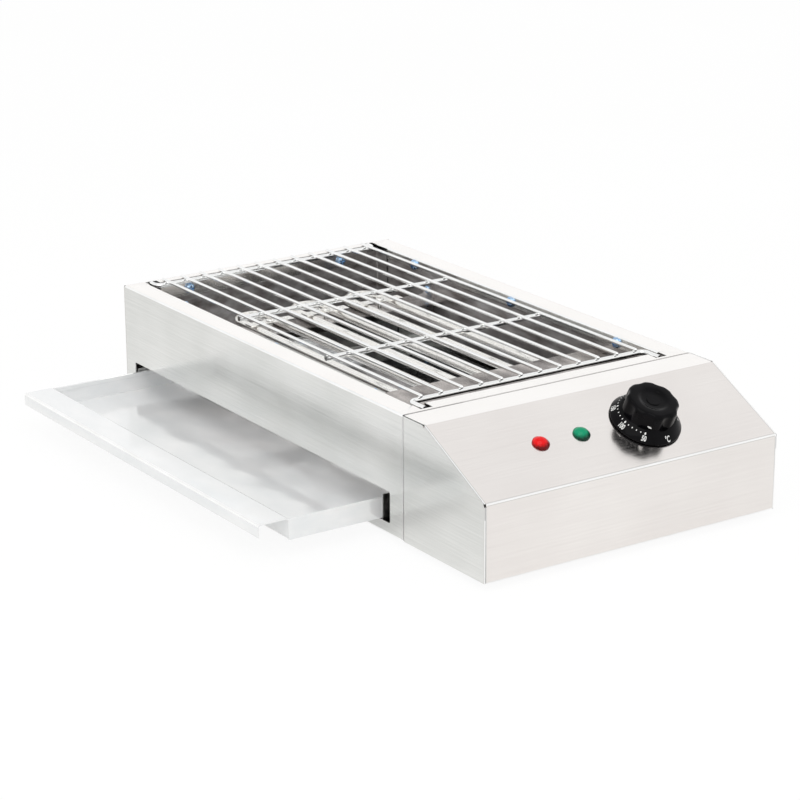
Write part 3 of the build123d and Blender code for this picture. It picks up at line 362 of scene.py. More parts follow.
# Painted shade: the plate's upper side, under the elements, is near black for the shadow in the chamber; the
# underside keeps the mill finish.
shaded_bottom, tree = new_material("bottom_painted_shade", {"Metallic": 1.0})
facing = add(tree, "ShaderNodeSeparateXYZ", {"Vector": add(tree, "ShaderNodeNewGeometry").outputs["Normal"]})
shaded_upper_side = within(tree, facing.outputs["Z"], 0.6, 0.4)
tint = grain(tree, (bottom_shade_cloud, bottom_shade_cloud * 2, bottom_shade_cloud))
plain = between(tree, grain(tree, mill_mottle, 4.0), mill_dark, mill_light)
drive(tree, "Base Color", mixed(tree, shaded_upper_side, plain, between(tree, tint, "#26282B", "#565B61")))
drive(tree, "Roughness", spread(tree, tint, 0.2, 0.34))
coat("bottom_plate", shaded_bottom)

# ---------------------------------------------------------------------------
# Feet: pucks of nitrile rubber, compression moulded, each with a recess for its
# screw. The mould leaves a fine grain and almost no gloss.
# ---------------------------------------------------------------------------
mould_grain = 0.5
rubber = patterned("moulded_nitrile_rubber", {"Roughness": 0.82, "Specular IOR Level": 0.3}, (mould_grain,) * 3,
                   "#141414", "#232322", bump=(0.05, 0.4), detail=2.0)
dress("rubber_feet", rubber, "rubber")

# ---------------------------------------------------------------------------
# Chamber lining, cover plate and support: bright annealed stainless,
# straight from the rolls. It mirrors like dim glass, bent by the sheet's waves,
# with smears where grease was wiped off.
# ---------------------------------------------------------------------------
lining_wave = 38.0


def mirror_sheet(name, light, dark, rough, wave, depth, shine=1.0):
    """Bright annealed sheet: near-mirror, with a slow ripple and wiped smears."""
    material = patterned(name, {"Metallic": shine}, (wave / 2, wave, wave / 4), dark, light,
                         gloss=(rough * 1.5, rough * 0.6))
    relief(material.node_tree, grain(material.node_tree, (wave,) * 3, 1.0), depth)
    return material


def coordinate(tree, axis):
    """One of the object's own coordinates."""
    place = add(tree, "ShaderNodeTexCoord").outputs["Object"]
    return add(tree, "ShaderNodeSeparateXYZ", {0: place}).outputs[axis]


lining = mirror_sheet("bright_annealed_lining", "#D6D3D2", "#837C79", 0.15, lining_wave, 0.9, 0.6)
for node in ("liner_left", "liner_right", "liner_rear", "element_support"):
    dress(node, lining, "lining")

# Painted shade: a near-black band across the cover plate, under the front flange, for the shadow there.
shade_band_from = 46.0
shade_band_to = 54.0
shaded_cover = mirror_sheet("cover_plate_painted_shade", "#C9C2BD", "#5E5654", 0.2, lining_wave, 0.9, 0.7)
tree = shaded_cover.node_tree
shade_band = within(tree, coordinate(tree, "Y"), at(0, shade_band_from, 0).y, at(0, shade_band_to, 0).y)
unshaded_colour = tree.nodes["Principled BSDF"].inputs["Base Color"].links[0].from_socket
drive(tree, "Base Color", mixed(tree, shade_band, unshaded_colour, linear("#09090A")))
dress("element_cover", shaded_cover, "lining")

# ---------------------------------------------------------------------------
# Heating elements: three hairpins of 8 mm stainless sheath, packed with magnesia
# and bent cold. Drawn tube, bright, with fine lines along it and a straw tint.
# ---------------------------------------------------------------------------
element_diameter = 8.0
element_bend = 15.0
element_z = 76.7
element_front = -8.0
element_rear = 370.0
element_xs = (-57.0, 0.0, 57.0)
element_sides = 28
element_bend_steps = 32


def geometry_tree(name, sockets):
    """A Geometry Nodes tree: its named inputs, and a function that ends it with a finish."""
    tree = bpy.data.node_groups.new(name, "GeometryNodeTree")
    tree.interface.new_socket("Geometry", in_out="OUTPUT", socket_type="NodeSocketGeometry")
    for label, kind in {"Geometry": "Geometry", **sockets, "Finish": "Material"}.items():
        tree.interface.new_socket(label, in_out="INPUT", socket_type="NodeSocket" + kind)
    given = add(tree, "NodeGroupInput").outputs

    def end(geometry):
        real = add(tree, "GeometryNodeRealizeInstances", {"Geometry": geometry})
        done = add(tree, "GeometryNodeSetMaterial", {0: real.outputs[0], "Material": given["Finish"]})
        add(tree, "NodeGroupOutput", {0: done.outputs[0]})

    return tree, given, end


def bare_mesh(name, vertices, edges=()):
    """Points and edges that a tree starts from."""
    mesh = bpy.data.meshes.new(name)
    mesh.from_pydata([tuple(v) for v in vertices], list(edges), [])
    return link_new(name, mesh)


def evaluated_mesh(thing):
    """The plain mesh that an object's modifiers or text come to."""
    bpy.context.view_layer.update()
    return bpy.data.meshes.new_from_object(thing.evaluated_get(bpy.context.evaluated_depsgraph_get()))


def grow(name, start, tree, values, angle=40):
    """Runs a tree on a start object and keeps the result as one plain mesh, its faces outwards."""
    modifier = start.modifiers.new("grown", "NODES")
    modifier.node_group = tree
    for item in tree.interface.items_tree:
        if item.in_out == "INPUT" and item.name in values:
            modifier[item.identifier] = values[item.name]
    mesh = evaluated_mesh(start)
    mesh.name = name
    bpy.data.objects.remove(start)
    work = bmesh.new()
    work.from_mesh(mesh)
    bmesh.ops.recalc_face_normals(work, faces=work.faces)
    work.to_mesh(mesh)
    work.free()
    soften(mesh, angle)
    return link_new(name, mesh)


rod_tree, given, end = geometry_tree("rod_along_route", {"Diameter": "Float", "Sides": "Int"})
line = add(rod_tree, "GeometryNodeMeshToCurve", {"Mesh": given["Geometry"]})
radius = add(rod_tree, "ShaderNodeMath", {0: given["Diameter"], 1: 0.5}, operation="MULTIPLY")
circle = add(rod_tree, "GeometryNodeCurvePrimitiveCircle", {"Resolution": given["Sides"],
                                                           "Radius": radius.outputs[0]})
skin = add(rod_tree, "GeometryNodeCurveToMesh", {"Curve": line.outputs[0], "Profile Curve": circle.outputs[0],
                                                "Fill Caps": True})
end(skin.outputs[0])


def rods(name, paths, diameter, sides, finish):
    """Round rods along paths."""
    vertices, edges = [], []
    for path in paths:
        first = len(vertices)
        vertices += [at(*point) for point in path]
        edges += [(i, i + 1) for i in range(first, len(vertices) - 1)]
    return grow(name, bare_mesh(name + "_route", vertices, edges), rod_tree,
                {"Diameter": diameter * mm, "Sides": sides, "Finish": finish})


def arc(x, y, z, radius, first, last, steps):
    """Points of a level arc about a centre, from one angle to another."""
    angles = [first + (last - first) * i / steps for i in range(steps + 1)]
    return [(x + radius * cos(a), y + radius * sin(a), z) for a in angles]


def drawn_metal(name, light, dark, rough, line_width):
    """Drawn tube or wire: fine lines along it and slow changes of tint."""
    return patterned(name, {"Metallic": 1.0}, (line_width, line_width * 25, line_width), dark, light,
                     gloss=(rough + 0.05, rough - 0.03))


sheath = drawn_metal("drawn_stainless_sheath", "#FFFEFC", "#F3F1EC", 0.2, 1.2)
for number, x in enumerate(element_xs, 1):
    route = [(x - element_bend, element_front, element_z)]
    route += arc(x, element_rear - element_bend, element_z, element_bend, pi, 0, element_bend_steps)
    route.append((x + element_bend, element_front, element_z))
    hairpin = rods(f"hairpin_element_{number}", [route], element_diameter, element_sides, sheath)
    place_piece(hairpin, "body", "element_sheath", f"heating_element_{number}")
dress("element_straps", sheath, "plate")

# ---------------------------------------------------------------------------
# Fasteners: steel screws and nuts, zinc plated and passivated blue. Plating over
# a rolled thread is bright, cold in tint and slightly uneven.
# ---------------------------------------------------------------------------
plating_patch = 1.5
nut_ease = 0.4
nut_face = 0.93               # a nut's end, as a share of its width
bolt_sides = 32
thread_end = 1.5              # what stands out of a nut
thread_taper = 0.5
dome_foot = 0.3               # the upright part of a head, as a share of its height
recess_long = 0.3             # half the length and width of a cross recess, as shares of the head
recess_wide = 0.07
recess_deep = 0.4
zinc = patterned("blue_passivated_zinc", {"Metallic": 1.0}, (plating_patch,) * 3, "#6C9FD0", "#D3E4F4",
                 gloss=(0.14, 0.26))
for node in ("foot_screws", "plate_screws", "collar_nuts", "element_pins", "pin_nuts", "thermostat_screws",
             "thermostat_spindle", "earth_stud"):
    coat(node, zinc)

hole_tree, given, end = geometry_tree("piece_at_each_hole", {"Piece": "Object"})
heading = add(hole_tree, "GeometryNodeInputNamedAttribute", {"Name": "facing"}, data_type="FLOAT_VECTOR")
turned = add(hole_tree, "FunctionNodeAlignRotationToVector", {"Vector": heading.outputs[0]}, axis="Z")
piece_info = add(hole_tree, "GeometryNodeObjectInfo", {"Object": given["Piece"]})
copies = add(hole_tree, "GeometryNodeInstanceOnPoints", {"Points": given["Geometry"],
                                                        "Instance": piece_info.outputs["Geometry"],
                                                        "Rotation": turned.outputs[0]})
end(copies.outputs[0])


def lathe(profile, segments, outline=None):
    """Turns a closed line of (radius, height, share of the outline) about z, all in millimetres."""
    work = bmesh.new()
    rings = []
    for radius, height, share in profile:
        if radius == 0:
            rings.append([work.verts.new((0, 0, height * mm))])
            continue
        ring = []
        for i in range(segments):
            angle = 2 * pi * i / segments
            reach = radius * mm * (1 - share + outline(angle) * share if share else 1)
            ring.append(work.verts.new((reach * cos(angle), reach * sin(angle), height * mm)))
        rings.append(ring)
    for low, high in zip(rings, rings[1:]):
        for i in range(segments):
            j = (i + 1) % segments
            if len(low) == 1:
                work.faces.new((low[0], high[i], high[j]))
            elif len(high) == 1:
                work.faces.new((low[i], low[j], high[0]))
            else:
                work.faces.new((low[i], low[j], high[j], high[i]))
    return work


def as_piece(name, work, angle=35, closed=True):
    """Makes a piece at the origin from a mesh under construction."""
    if closed:
        bmesh.ops.recalc_face_normals(work, faces=work.faces)
    mesh = bpy.data.meshes.new(name)
    work.to_mesh(mesh)
    work.free()
    soften(mesh, angle)
    return link_new(name, mesh)


def nut_prism(work, across, low, high):
    """Adds a hexagonal nut with eased corners."""
    rings = []
    for height, share in ((low, nut_face), (low + nut_ease, 1.0), (high - nut_ease, 1.0), (high, nut_face)):
        reach = across / sqrt(3) * share * mm
        rings.append([work.verts.new((reach * cos(i * pi / 3), reach * sin(i * pi / 3), height * mm))
                      for i in range(6)])
    for low_ring, high_ring in zip(rings, rings[1:]):
        for i in range(6):
            j = (i + 1) % 6
            work.faces.new((low_ring[i], low_ring[j], high_ring[j], high_ring[i]))
    work.faces.new(list(reversed(rings[0])))
    work.faces.new(rings[-1])


def round_bolt(name, shank, head, height, grip, nut):
    """Dome-headed bolt with a cross recess: the head stands on z = 0, shank and nut hang below."""
    foot = -grip - nut - thread_end
    dome = [(head / 2 * cos(a), height * (dome_foot + (1 - dome_foot) * sin(a)), 0)
            for a in (0, 0.3, 0.6, 0.9, 1.15, 1.35)]
    work = lathe([(0, foot, 0), (shank * 0.4, foot, 0), (shank / 2, foot + thread_taper, 0),
                  (shank / 2, 0, 0), (head / 2, 0, 0)] + dome + [(0, height, 0)], bolt_sides)
    nut_prism(work, head, -grip - nut, -grip)
    bolt = as_piece(name, work)
    recess = bmesh.new()
    for x, y in ((recess_long, recess_wide), (recess_wide, recess_long)):
        cube = bmesh.ops.create_cube(recess, size=2.0)
        reach = Vector((head * x, head * y, height * recess_deep)) * mm
        bmesh.ops.scale(recess, vec=reach, verts=cube["verts"])
        bmesh.ops.translate(recess, vec=(0, 0, height * mm), verts=cube["verts"])
    tool = as_piece(name + "_recess", recess)
    cut = bolt.modifiers.new("recess", "BOOLEAN")
    cut.object = tool
    cut.use_self = True
    mesh = evaluated_mesh(bolt)
    bolt.modifiers.clear()
    bolt.data = mesh
    bpy.data.objects.remove(tool)
    return bolt


def set_bolts(name, bolt, holes, node, finish=zinc):
    """Sets one bolt in each hole: its place and the way that its head faces."""
    start = bare_mesh(name + "_holes", [at(*place) for place, facing in holes])
    attribute = start.data.attributes.new("facing", "FLOAT_VECTOR", "POINT")
    for i, (place, facing) in enumerate(holes):
        attribute.data[i].vector = facing
    piece = grow(name, start, hole_tree, {"Piece": bolt, "Finish": finish}, 35)
    bpy.data.objects.remove(bolt)
    place_piece(piece, "body", "zinc", node)


opening_x = 120.0
opening_rear = 430.0
side_bolt_ys = (70.0, 218.0, 367.0)
side_bolt_z = 96.6
rear_bolt_xs = (-80.0, 80.0)
rear_bolt_z = 92.5
support_bolt_x = 119.55
support_bolt_y = 346.0
support_bolt_zs = (78.3, 65.3)
cover_bolt_x = 119.95
cover_bolt_y = 93.0
cover_bolt_z = 79.0
strap_bolt_y = 330.0
strap_bolt_z = 82.0
liner_holes = [((side * opening_x, y, side_bolt_z), (-side, 0, 0)) for side in (-1, 1) for y in side_bolt_ys]
liner_holes += [((x, opening_rear, rear_bolt_z), (0, -1, 0)) for x in rear_bolt_xs]
liner_bolt = round_bolt("lining_bolt", shank=5.0, head=9.4, height=3.6, grip=1.7, nut=4.0)
set_bolts("lining_bolts", liner_bolt, liner_holes, "liner_bolts")
wall_holes = [((side * support_bolt_x, support_bolt_y, z), (-side, 0, 0))
              for side in (-1, 1) for z in support_bolt_zs]
wall_holes += [((side * cover_bolt_x, cover_bolt_y, cover_bolt_z), (-side, 0, 0)) for side in (-1, 1)]
wall_bolt = round_bolt("wall_bolt", shank=4.0, head=7.0, height=2.4, grip=2.1, nut=4.0)
set_bolts("support_and_cover_bolts", wall_bolt, wall_holes, "support_bolts")
strap_holes = [((x, strap_bolt_y, strap_bolt_z), (0, 0, 1)) for x in element_xs]
strap_bolt = round_bolt("strap_bolt", shank=4.0, head=7.6, height=2.4, grip=11.0, nut=1.5)
set_bolts("strap_bolts", strap_bolt, strap_holes, "strap_screws", sheath)

# ---------------------------------------------------------------------------
# Ends of the elements and the feeler: brass collars turned from bar, beads and
# block of unglazed steatite, bulb and fine tube of soft copper.
# ---------------------------------------------------------------------------
brass = drawn_metal("turned_brass", "#D9B66A", "#BF9648", 0.26, 0.8)
copper = drawn_metal("soft_drawn_copper", "#D98F6B", "#B8704E", 0.3, 0.8)
steatite = patterned("unglazed_steatite", {"Roughness": 0.62}, (2, 2, 2), "#DAD3C3", "#EFEAE0", detail=4.0)
for node, material in {"element_collars": brass, "terminal_clamps": brass, "sensor_bulb": copper,
                       "sensor_tube": copper, "element_beads": steatite, "terminal_block": steatite}.items():
    coat(node, material)

# ---------------------------------------------------------------------------
# Grate: twelve straight wires resistance-welded over four cross bars, plated with
# bright chrome. The end bars turn outwards and lie in notches of the flanges.
# ---------------------------------------------------------------------------
wire = 3.0
wire_count = 12
wire_pitch = 19.1
wire_front = 25.5
wire_rear = 434.0
wire_z = 103.8
wire_sides = 20
bar = 4.5
bar_z = 100.25
bar_ys = {"front": 29.0, "middle_front": 160.5, "middle_rear": 298.0, "rear": 426.8}
bar_reach = 107.0
bar_bend = 6.0
bar_sides = 24
bar_bend_steps = 10
foot_x = 114.5
tip_front = 7.5               # where the turned ends stop
tip_rear = 437.0
nugget_radius = 1.2
nugget_spread = (1.5, 1.3, 0.5)
first_x = -(wire_count - 1) / 2 * wire_pitch
chrome = drawn_metal("bright_chrome_on_wire", "#FCFCFB", "#EFF0F0", 0.09, 0.7)

wire_tree, given, end = geometry_tree("row_of_wires", {"Count": "Int", "Pitch": "Vector", "Length": "Float",
                                                      "Radius": "Float"})
far_end = add(wire_tree, "ShaderNodeCombineXYZ", {"Y": given["Length"]})
line = add(wire_tree, "GeometryNodeCurvePrimitiveLine", {"End": far_end.outputs[0]})
circle = add(wire_tree, "GeometryNodeCurvePrimitiveCircle", {"Resolution": wire_sides,
                                                            "Radius": given["Radius"]})
skin = add(wire_tree, "GeometryNodeCurveToMesh", {0: line.outputs[0], "Profile Curve": circle.outputs[0]})
ball = add(wire_tree, "GeometryNodeMeshUVSphere", {"Segments": wire_sides, "Rings": wire_sides // 2,
                                                  "Radius": given["Radius"]})
far_ball = add(wire_tree, "GeometryNodeTransform", {"Geometry": ball.outputs[0],
                                                   "Translation": far_end.outputs[0]})
whole = add(wire_tree, "GeometryNodeJoinGeometry")
for part in (skin, ball, far_ball):
    wire_tree.links.new(part.outputs[0], whole.inputs[0])
row = add(wire_tree, "GeometryNodeMeshLine", {"Count": given["Count"], "Offset": given["Pitch"]})
placed = add(wire_tree, "GeometryNodeInstanceOnPoints", {0: row.outputs[0], "Instance": whole.outputs[0]})
end(placed.outputs[0])
wires = grow("grate_long_wires", bare_mesh("wires_start", []), wire_tree, {
    "Count": wire_count, "Pitch": (wire_pitch * mm, 0, 0), "Length": (wire_rear - wire_front - wire) * mm,
    "Radius": wire / 2 * mm, "Finish": chrome}, 60)
wires.data.transform(Matrix.Translation(at(first_x, wire_front + wire / 2, wire_z)))
place_piece(wires, "grate", "wire_chrome", "grate_wires")

for name, tip, way in (("front", tip_front, -1), ("rear", tip_rear, 1)):
    y = bar_ys[name]
    left_turn = arc(bar_bend - foot_x, y + way * bar_bend, bar_z, bar_bend, pi, pi + way * pi / 2,
                    bar_bend_steps)
    right_turn = [(-px, py, pz) for px, py, pz in reversed(left_turn)]
    route = [(-foot_x, tip, bar_z)] + left_turn + right_turn + [(foot_x, tip, bar_z)]
    end_bar = rods(f"grate_end_bar_{name}", [route], bar, bar_sides, chrome)
    place_piece(end_bar, "grate", "wire_chrome", f"grate_bar_{name}")
for name in ("middle_front", "middle_rear"):
    route = [(-bar_reach, bar_ys[name], bar_z), (bar_reach, bar_ys[name], bar_z)]
    cross_bar = rods(f"grate_cross_bar_{name}", [route], bar, bar_sides, chrome)
    place_piece(cross_bar, "grate", "wire_chrome", f"grate_bar_{name}")

# Weld nuggets: metal squeezed out where a wire sank into a bar.
nugget_tree, given, end = geometry_tree("weld_nuggets", {"Radius": "Float"})
ball = add(nugget_tree, "GeometryNodeMeshIcoSphere", {"Radius": given["Radius"], "Subdivisions": 3})
copies = add(nugget_tree, "GeometryNodeInstanceOnPoints", {"Points": given["Geometry"],
                                                          "Instance": ball.outputs[0],
                                                          "Scale": nugget_spread})
end(copies.outputs[0])
weld_places = [at(first_x + i * wire_pitch, y, wire_z - wire / 2)
               for y in bar_ys.values() for i in range(wire_count)]
nuggets = grow("grate_weld_nuggets", bare_mesh("weld_places", weld_places), nugget_tree,
               {"Radius": nugget_radius * mm, "Finish": chrome}, 60)
place_piece(nuggets, "grate", "wire_chrome")

# ---------------------------------------------------------------------------
# Drip tray: one sheet of stainless with hemmed short walls and a folded pull strip.
# Its thin floor is wavy. What stands outside carries a pale haze, the rest mirrors.
# ---------------------------------------------------------------------------
tray_wave = 60.0
haze_end = 34.0               # the haze ends this far inside the left wall
clear_from = 44.0
tray_steel = mirror_sheet("hazy_tray_stainless", "#FFFFFF", "#F4F6F7", 0.12, tray_wave, 1.6)
tree = tray_steel.node_tree
clear = add(tree, "ShaderNodeMapRange", {"Value": coordinate(tree, "X"),
                                         "From Min": at(haze_end - half_width, 0, 0).x,
                                         "From Max": at(clear_from - half_width, 0, 0).x,
                                         "To Min": 0.14, "To Max": 1.0})
drive(tree, "Metallic", clear.outputs[0])
dress("drip_tray", tray_steel, "stainless", "drawer", ((painted_fold_highlight, fold),))

# ---------------------------------------------------------------------------
# Knob: one moulding of black phenolic, with a dial skirt, eight flutes round the
# grip and a dished crown. Tumbled after moulding, so its gloss is deep and soft.
# ---------------------------------------------------------------------------
knob_x = 39.3
knob_s = 44.2
skirt_radius = 28.9
skirt_low = 0.8
skirt_edge = 2.1
skirt_top = 10.7
skirt_wall = 2.2
skirt_round = 0.4
cone_inset = 0.5              # from the skirt's rim to the foot of its cone
cone_rise = 0.45
cone_radius = 22.6            # where the skirt's cone starts to turn up into the grip
cone_top = 9.2
grip_radius = 21.7
grip_foot = 11.2
grip_top = 22.8
grip_edge = 3.2               # how far the crown rolls over into the sides
grip_inset = 0.15
grip_lean = 0.35
grip_lobes = 8
flute_radius = 9.0
flute_place = 29.0
flute_ease = 0.55
dish_radius = 12.0
dish_floor = 21.4
boss_radius = 5.7
boss_top = 22.1
knob_steps = 192


def on_slope(x, s):
    """The frame of a control: x across, s down from the slope's top edge; z stands off the panel."""
    place = at(x, slope_top_y - s * cos(slope_angle), body_height - s * sin(slope_angle))
    return Matrix.Translation(place) @ Matrix.Rotation(slope_angle, 4, "X")


def fluted(angle):
    """Outline of the grip as a share of its radius: a circle cut by flutes, with eased lands."""
    step = 2 * pi / grip_lobes
    off = (angle + step / 2) % step - step / 2
    across = flute_place * sin(off)
    if abs(across) >= flute_radius:
        return 1.0
    flute = flute_place * cos(off) - sqrt(flute_radius ** 2 - across ** 2)
    return -flute_ease * log(exp(-flute / flute_ease) + exp(-grip_radius / flute_ease)) / grip_radius


bakelite = patterned("moulded_black_phenolic", {"IOR": 1.6, "Specular IOR Level": 0.06}, (9, 9, 9),
                     "#050506", "#0D0C0F", gloss=(0.1, 0.2), detail=4.0)
relief(bakelite.node_tree, grain(bakelite.node_tree, (6, 6, 6), 2.0), 0.03, 0.5)

inner = skirt_radius - skirt_wall
roof = skirt_top - skirt_wall
profile = [(0, roof, 0), (grip_radius - 4, roof, 0), (inner, skirt_low + skirt_round, 0),
           (inner, skirt_low, 0), (skirt_radius - skirt_round, skirt_low, 0)]
profile += [(skirt_radius - skirt_round * (1 - sin(a)), skirt_low + skirt_round * (1 - cos(a)), 0)
            for a in (0.5, 1.0, pi / 2)]
profile += [(skirt_radius, skirt_edge - 0.5, 0), (skirt_radius - 0.12, skirt_edge - 0.05, 0),
            (skirt_radius - cone_inset, skirt_edge + cone_rise, 0), (cone_radius, cone_top, 0),
            (cone_radius - 0.4, cone_top + 0.1, 0), (grip_radius, cone_top + 0.4, 1)]
side_top = grip_top - grip_edge
side_foot = grip_radius - grip_inset
profile += [(side_foot - grip_lean * (height - grip_foot) / (side_top - grip_foot), height, 1)
            for height in (grip_foot, 13, 15, 17, side_top)]
profile += [(side_foot - grip_lean - grip_edge * (1 - cos(a)), side_top + grip_edge * sin(a), 1 - 0.4 * a)
            for a in (0.2, 0.4, 0.6, 0.8, 1.0, 1.2, 1.4, pi / 2)]
profile += [(16.5, grip_top + 0.05, 0.25), (14.5, grip_top + 0.05, 0.1),
            (dish_radius + 1, grip_top - 0.05, 0), (dish_radius, grip_top - 0.3, 0),
            (dish_radius - 1, grip_top - 0.75, 0),
            (dish_radius - 2, dish_floor + 0.25, 0), (dish_radius - 3, dish_floor, 0),
            (boss_radius + 0.2, dish_floor, 0), (boss_radius, dish_floor + 0.2, 0),
            (boss_radius, boss_top - 0.2, 0), (boss_radius - 0.25, boss_top, 0), (0, boss_top, 0)]
knob = as_piece("fluted_knob", lathe(profile, knob_steps, fluted), 38)
knob.data.materials.append(bakelite)
knob.data.transform(on_slope(knob_x, knob_s))
place_piece(knob, "knob_group", "phenolic", "knob")

# Dial: dots, figures and pointer, filled with white enamel after moulding.
dial_start = -129.8
dial_step = -8.7
dial_dots = 31
dots_a_figure = 5
dot_radius = 24.3
dot_size = 0.42
large_dot_size = 0.7
dot_sides = 16
figure_radius = 27.0
figure_height = 2.7
figure_share = 0.7            # of a line's height that a figure takes
figure_weight = 0.11          # the strokes are drawn out by this much
degree_angle = -86.5
degree_height = 3.2
pointer_angle = radians(-125)
pointer_z = 11.4
pointer_wide = 1.7
pointer_high = 0.8
pointer_sides = 20
mark_lift = 0.05              # how far the marks stand off the moulding
enamel = patterned("white_dial_enamel", {"Roughness": 0.4}, (0.6, 0.6, 0.6), "#E4E4E2", "#F4F4F2")


def on_skirt(radius, angle):
    """A point just above the skirt's cone."""
    rim = skirt_radius - cone_inset
    foot = skirt_edge + cone_rise
    height = foot + mark_lift + (rim - radius) * (cone_top - foot) / (rim - cone_radius)
    return Vector((radius * cos(angle), radius * sin(angle), height)) * mm


dial = bmesh.new()
for i in range(dial_dots):
    angle = radians(dial_start + dial_step * i)
    size = dot_size if i % dots_a_figure else large_dot_size
    turns = [-2 * pi * k / dot_sides for k in range(dot_sides)]
    dial.faces.new([dial.verts.new(on_skirt(dot_radius + size * sin(t), angle + size * cos(t) / dot_radius))
                    for t in turns])


def figure(text, angle, height):
    """Figures bent round the cone, their feet towards the rim."""
    curve = bpy.data.curves.new("figure", "FONT")
    curve.body = text
    curve.size = height / figure_share
    curve.align_x = "CENTER"
    curve.align_y = "CENTER"
    curve.resolution_u = 3
    curve.offset = figure_weight
    label = link_new("figure", curve)
    mesh = evaluated_mesh(label)
    bpy.data.objects.remove(label)
    for vertex in mesh.vertices:
        vertex.co = on_skirt(figure_radius - vertex.co.y, angle + vertex.co.x / figure_radius)
    dial.from_mesh(mesh)
    bpy.data.meshes.remove(mesh)


for i, text in enumerate(("50", "100", "150", "200", "250", "300")):
    figure(text, radians(dial_start + dial_step * dots_a_figure * i), figure_height)
figure("°C", radians(degree_angle), degree_height)
pointer = []
for k in range(pointer_sides):
    turn = 2 * pi * k / pointer_sides
    angle = pointer_angle + pointer_wide * cos(turn) / grip_radius
    reach = grip_radius * fluted(angle) + mark_lift
    height = pointer_z + pointer_high * sin(turn)
    pointer.append(dial.verts.new(Vector((reach * cos(angle), reach * sin(angle), height)) * mm))
dial.faces.new(pointer)
marks = as_piece("dial_marks", dial, closed=False)
marks.data.materials.append(enamel)
marks.data.transform(on_slope(knob_x, knob_s))
place_piece(marks, "knob_group", "phenolic")

# ---------------------------------------------------------------------------
# Pilot lamps: domed lenses of clear coloured acrylic over a neon, with a rolled
# rim. The dome is polished; its colour is a painted glow, light about a point up and left of the middle and
# darker towards the rim.
# ---------------------------------------------------------------------------
lamp_s = 43.0
lens_radius = 7.0
lens_rim = 1.4
lens_dome = 3.6
lens_step = 0.6               # from the rim's edge to the dome
lens_rings = 12
lens_sides = 48
lens_facet = 2.2
facet_shade = 0.22
glow_offset = 0.8             # the painted glow is centred up and to the left of the lens's middle
glow_near = 4.2
glow_far = 8.6


def lamp(name, x, light, dark, slot, node):
    """One lens: rim and dome in one moulding."""
    material, tree = new_material(name + "_acrylic", {"Roughness": 0.06, "IOR": 1.49, "Specular IOR Level": 0.22})
    # Painted glow: the colour is lightest near a point just above the rim and darkens away from it, standing for
    # the neon's light; small cells darken it in facets.
    glow = on_slope(x, lamp_s) @ (Vector((-glow_offset, glow_offset, lens_rim)) * mm)
    place = add(tree, "ShaderNodeTexCoord").outputs["Object"]
    away = add(tree, "ShaderNodeVectorMath", {0: place, 1: glow}, operation="DISTANCE").outputs["Value"]
    depth = within(tree, away, glow_near * mm, glow_far * mm)
    cells = add(tree, "ShaderNodeTexVoronoi", {"Vector": place, "Scale": 1 / (lens_facet * mm)})
    facets = add(tree, "ShaderNodeMath", {0: cells.outputs["Distance"], 1: -facet_shade, 2: depth},
                 operation="MULTIPLY_ADD")
    drive(tree, "Base Color", between(tree, facets.outputs[0], dark, light))
    base = lens_radius - lens_step
    bow = (base ** 2 + lens_dome ** 2) / (2 * lens_dome)
    line = [(0, 0.02, 0), (lens_radius - 0.2, 0.02, 0), (lens_radius, 0.25, 0),
            (lens_radius, lens_rim - 0.35, 0), (lens_radius - 0.12, lens_rim - 0.1, 0),
            (lens_radius - 0.35, lens_rim, 0), (base, lens_rim + 0.03, 0)]
    for i in range(1, lens_rings):
        reach = base * (1 - i / lens_rings)
        line.append((reach, lens_rim + lens_dome - bow + sqrt(bow ** 2 - reach ** 2), 0))
    line.append((0, lens_rim + lens_dome, 0))
    lens = as_piece(name, lathe(line, lens_sides), 40)
    lens.data.materials.append(material)
    lens.data.transform(on_slope(x, lamp_s))
    place_piece(lens, "body", slot, node)


lamp("red_lens", -60.0, "#EE1013", "#6E0506", "lens_red", "lamp_lens_red")
lamp("green_lens", -21.5, "#069A6E", "#033527", "lens_green", "lamp_lens_green")

# ---------------------------------------------------------------------------
# Mouldings and leads inside: lamp holders, nuts and gland of black nylon, the
# thermostat's case of white nylon, silicone insulation on the leads.
# ---------------------------------------------------------------------------
mould_texture = 0.8


def moulded(name, light, dark, rough):
    """Plain moulded or extruded plastic with a fine texture."""
    return patterned(name, {"Roughness": rough}, (mould_texture,) * 3, dark, light, bump=(0.02, 0.3))


black_nylon = moulded("moulded_black_nylon", "#242425", "#151516", 0.45)
for node in ("lamp_bodies", "lamp_nuts", "gland_nut"):
    coat(node, black_nylon)
dress("cable_gland", black_nylon, "nylon_black")
coat("thermostat_body", moulded("moulded_white_nylon", "#E6E5E0", "#D6D5D0", 0.5))
for node, light, dark in (("leads_live", "#A6241C", "#7E1812"), ("lead_neutral", "#24508F", "#183868"),
                          ("lead_earth", "#6F8F2A", "#3F7A2C"), ("leads_lamps", "#E8E7E2", "#D2D1CC")):
    coat(node, moulded(node + "_silicone", light, dark, 0.55))

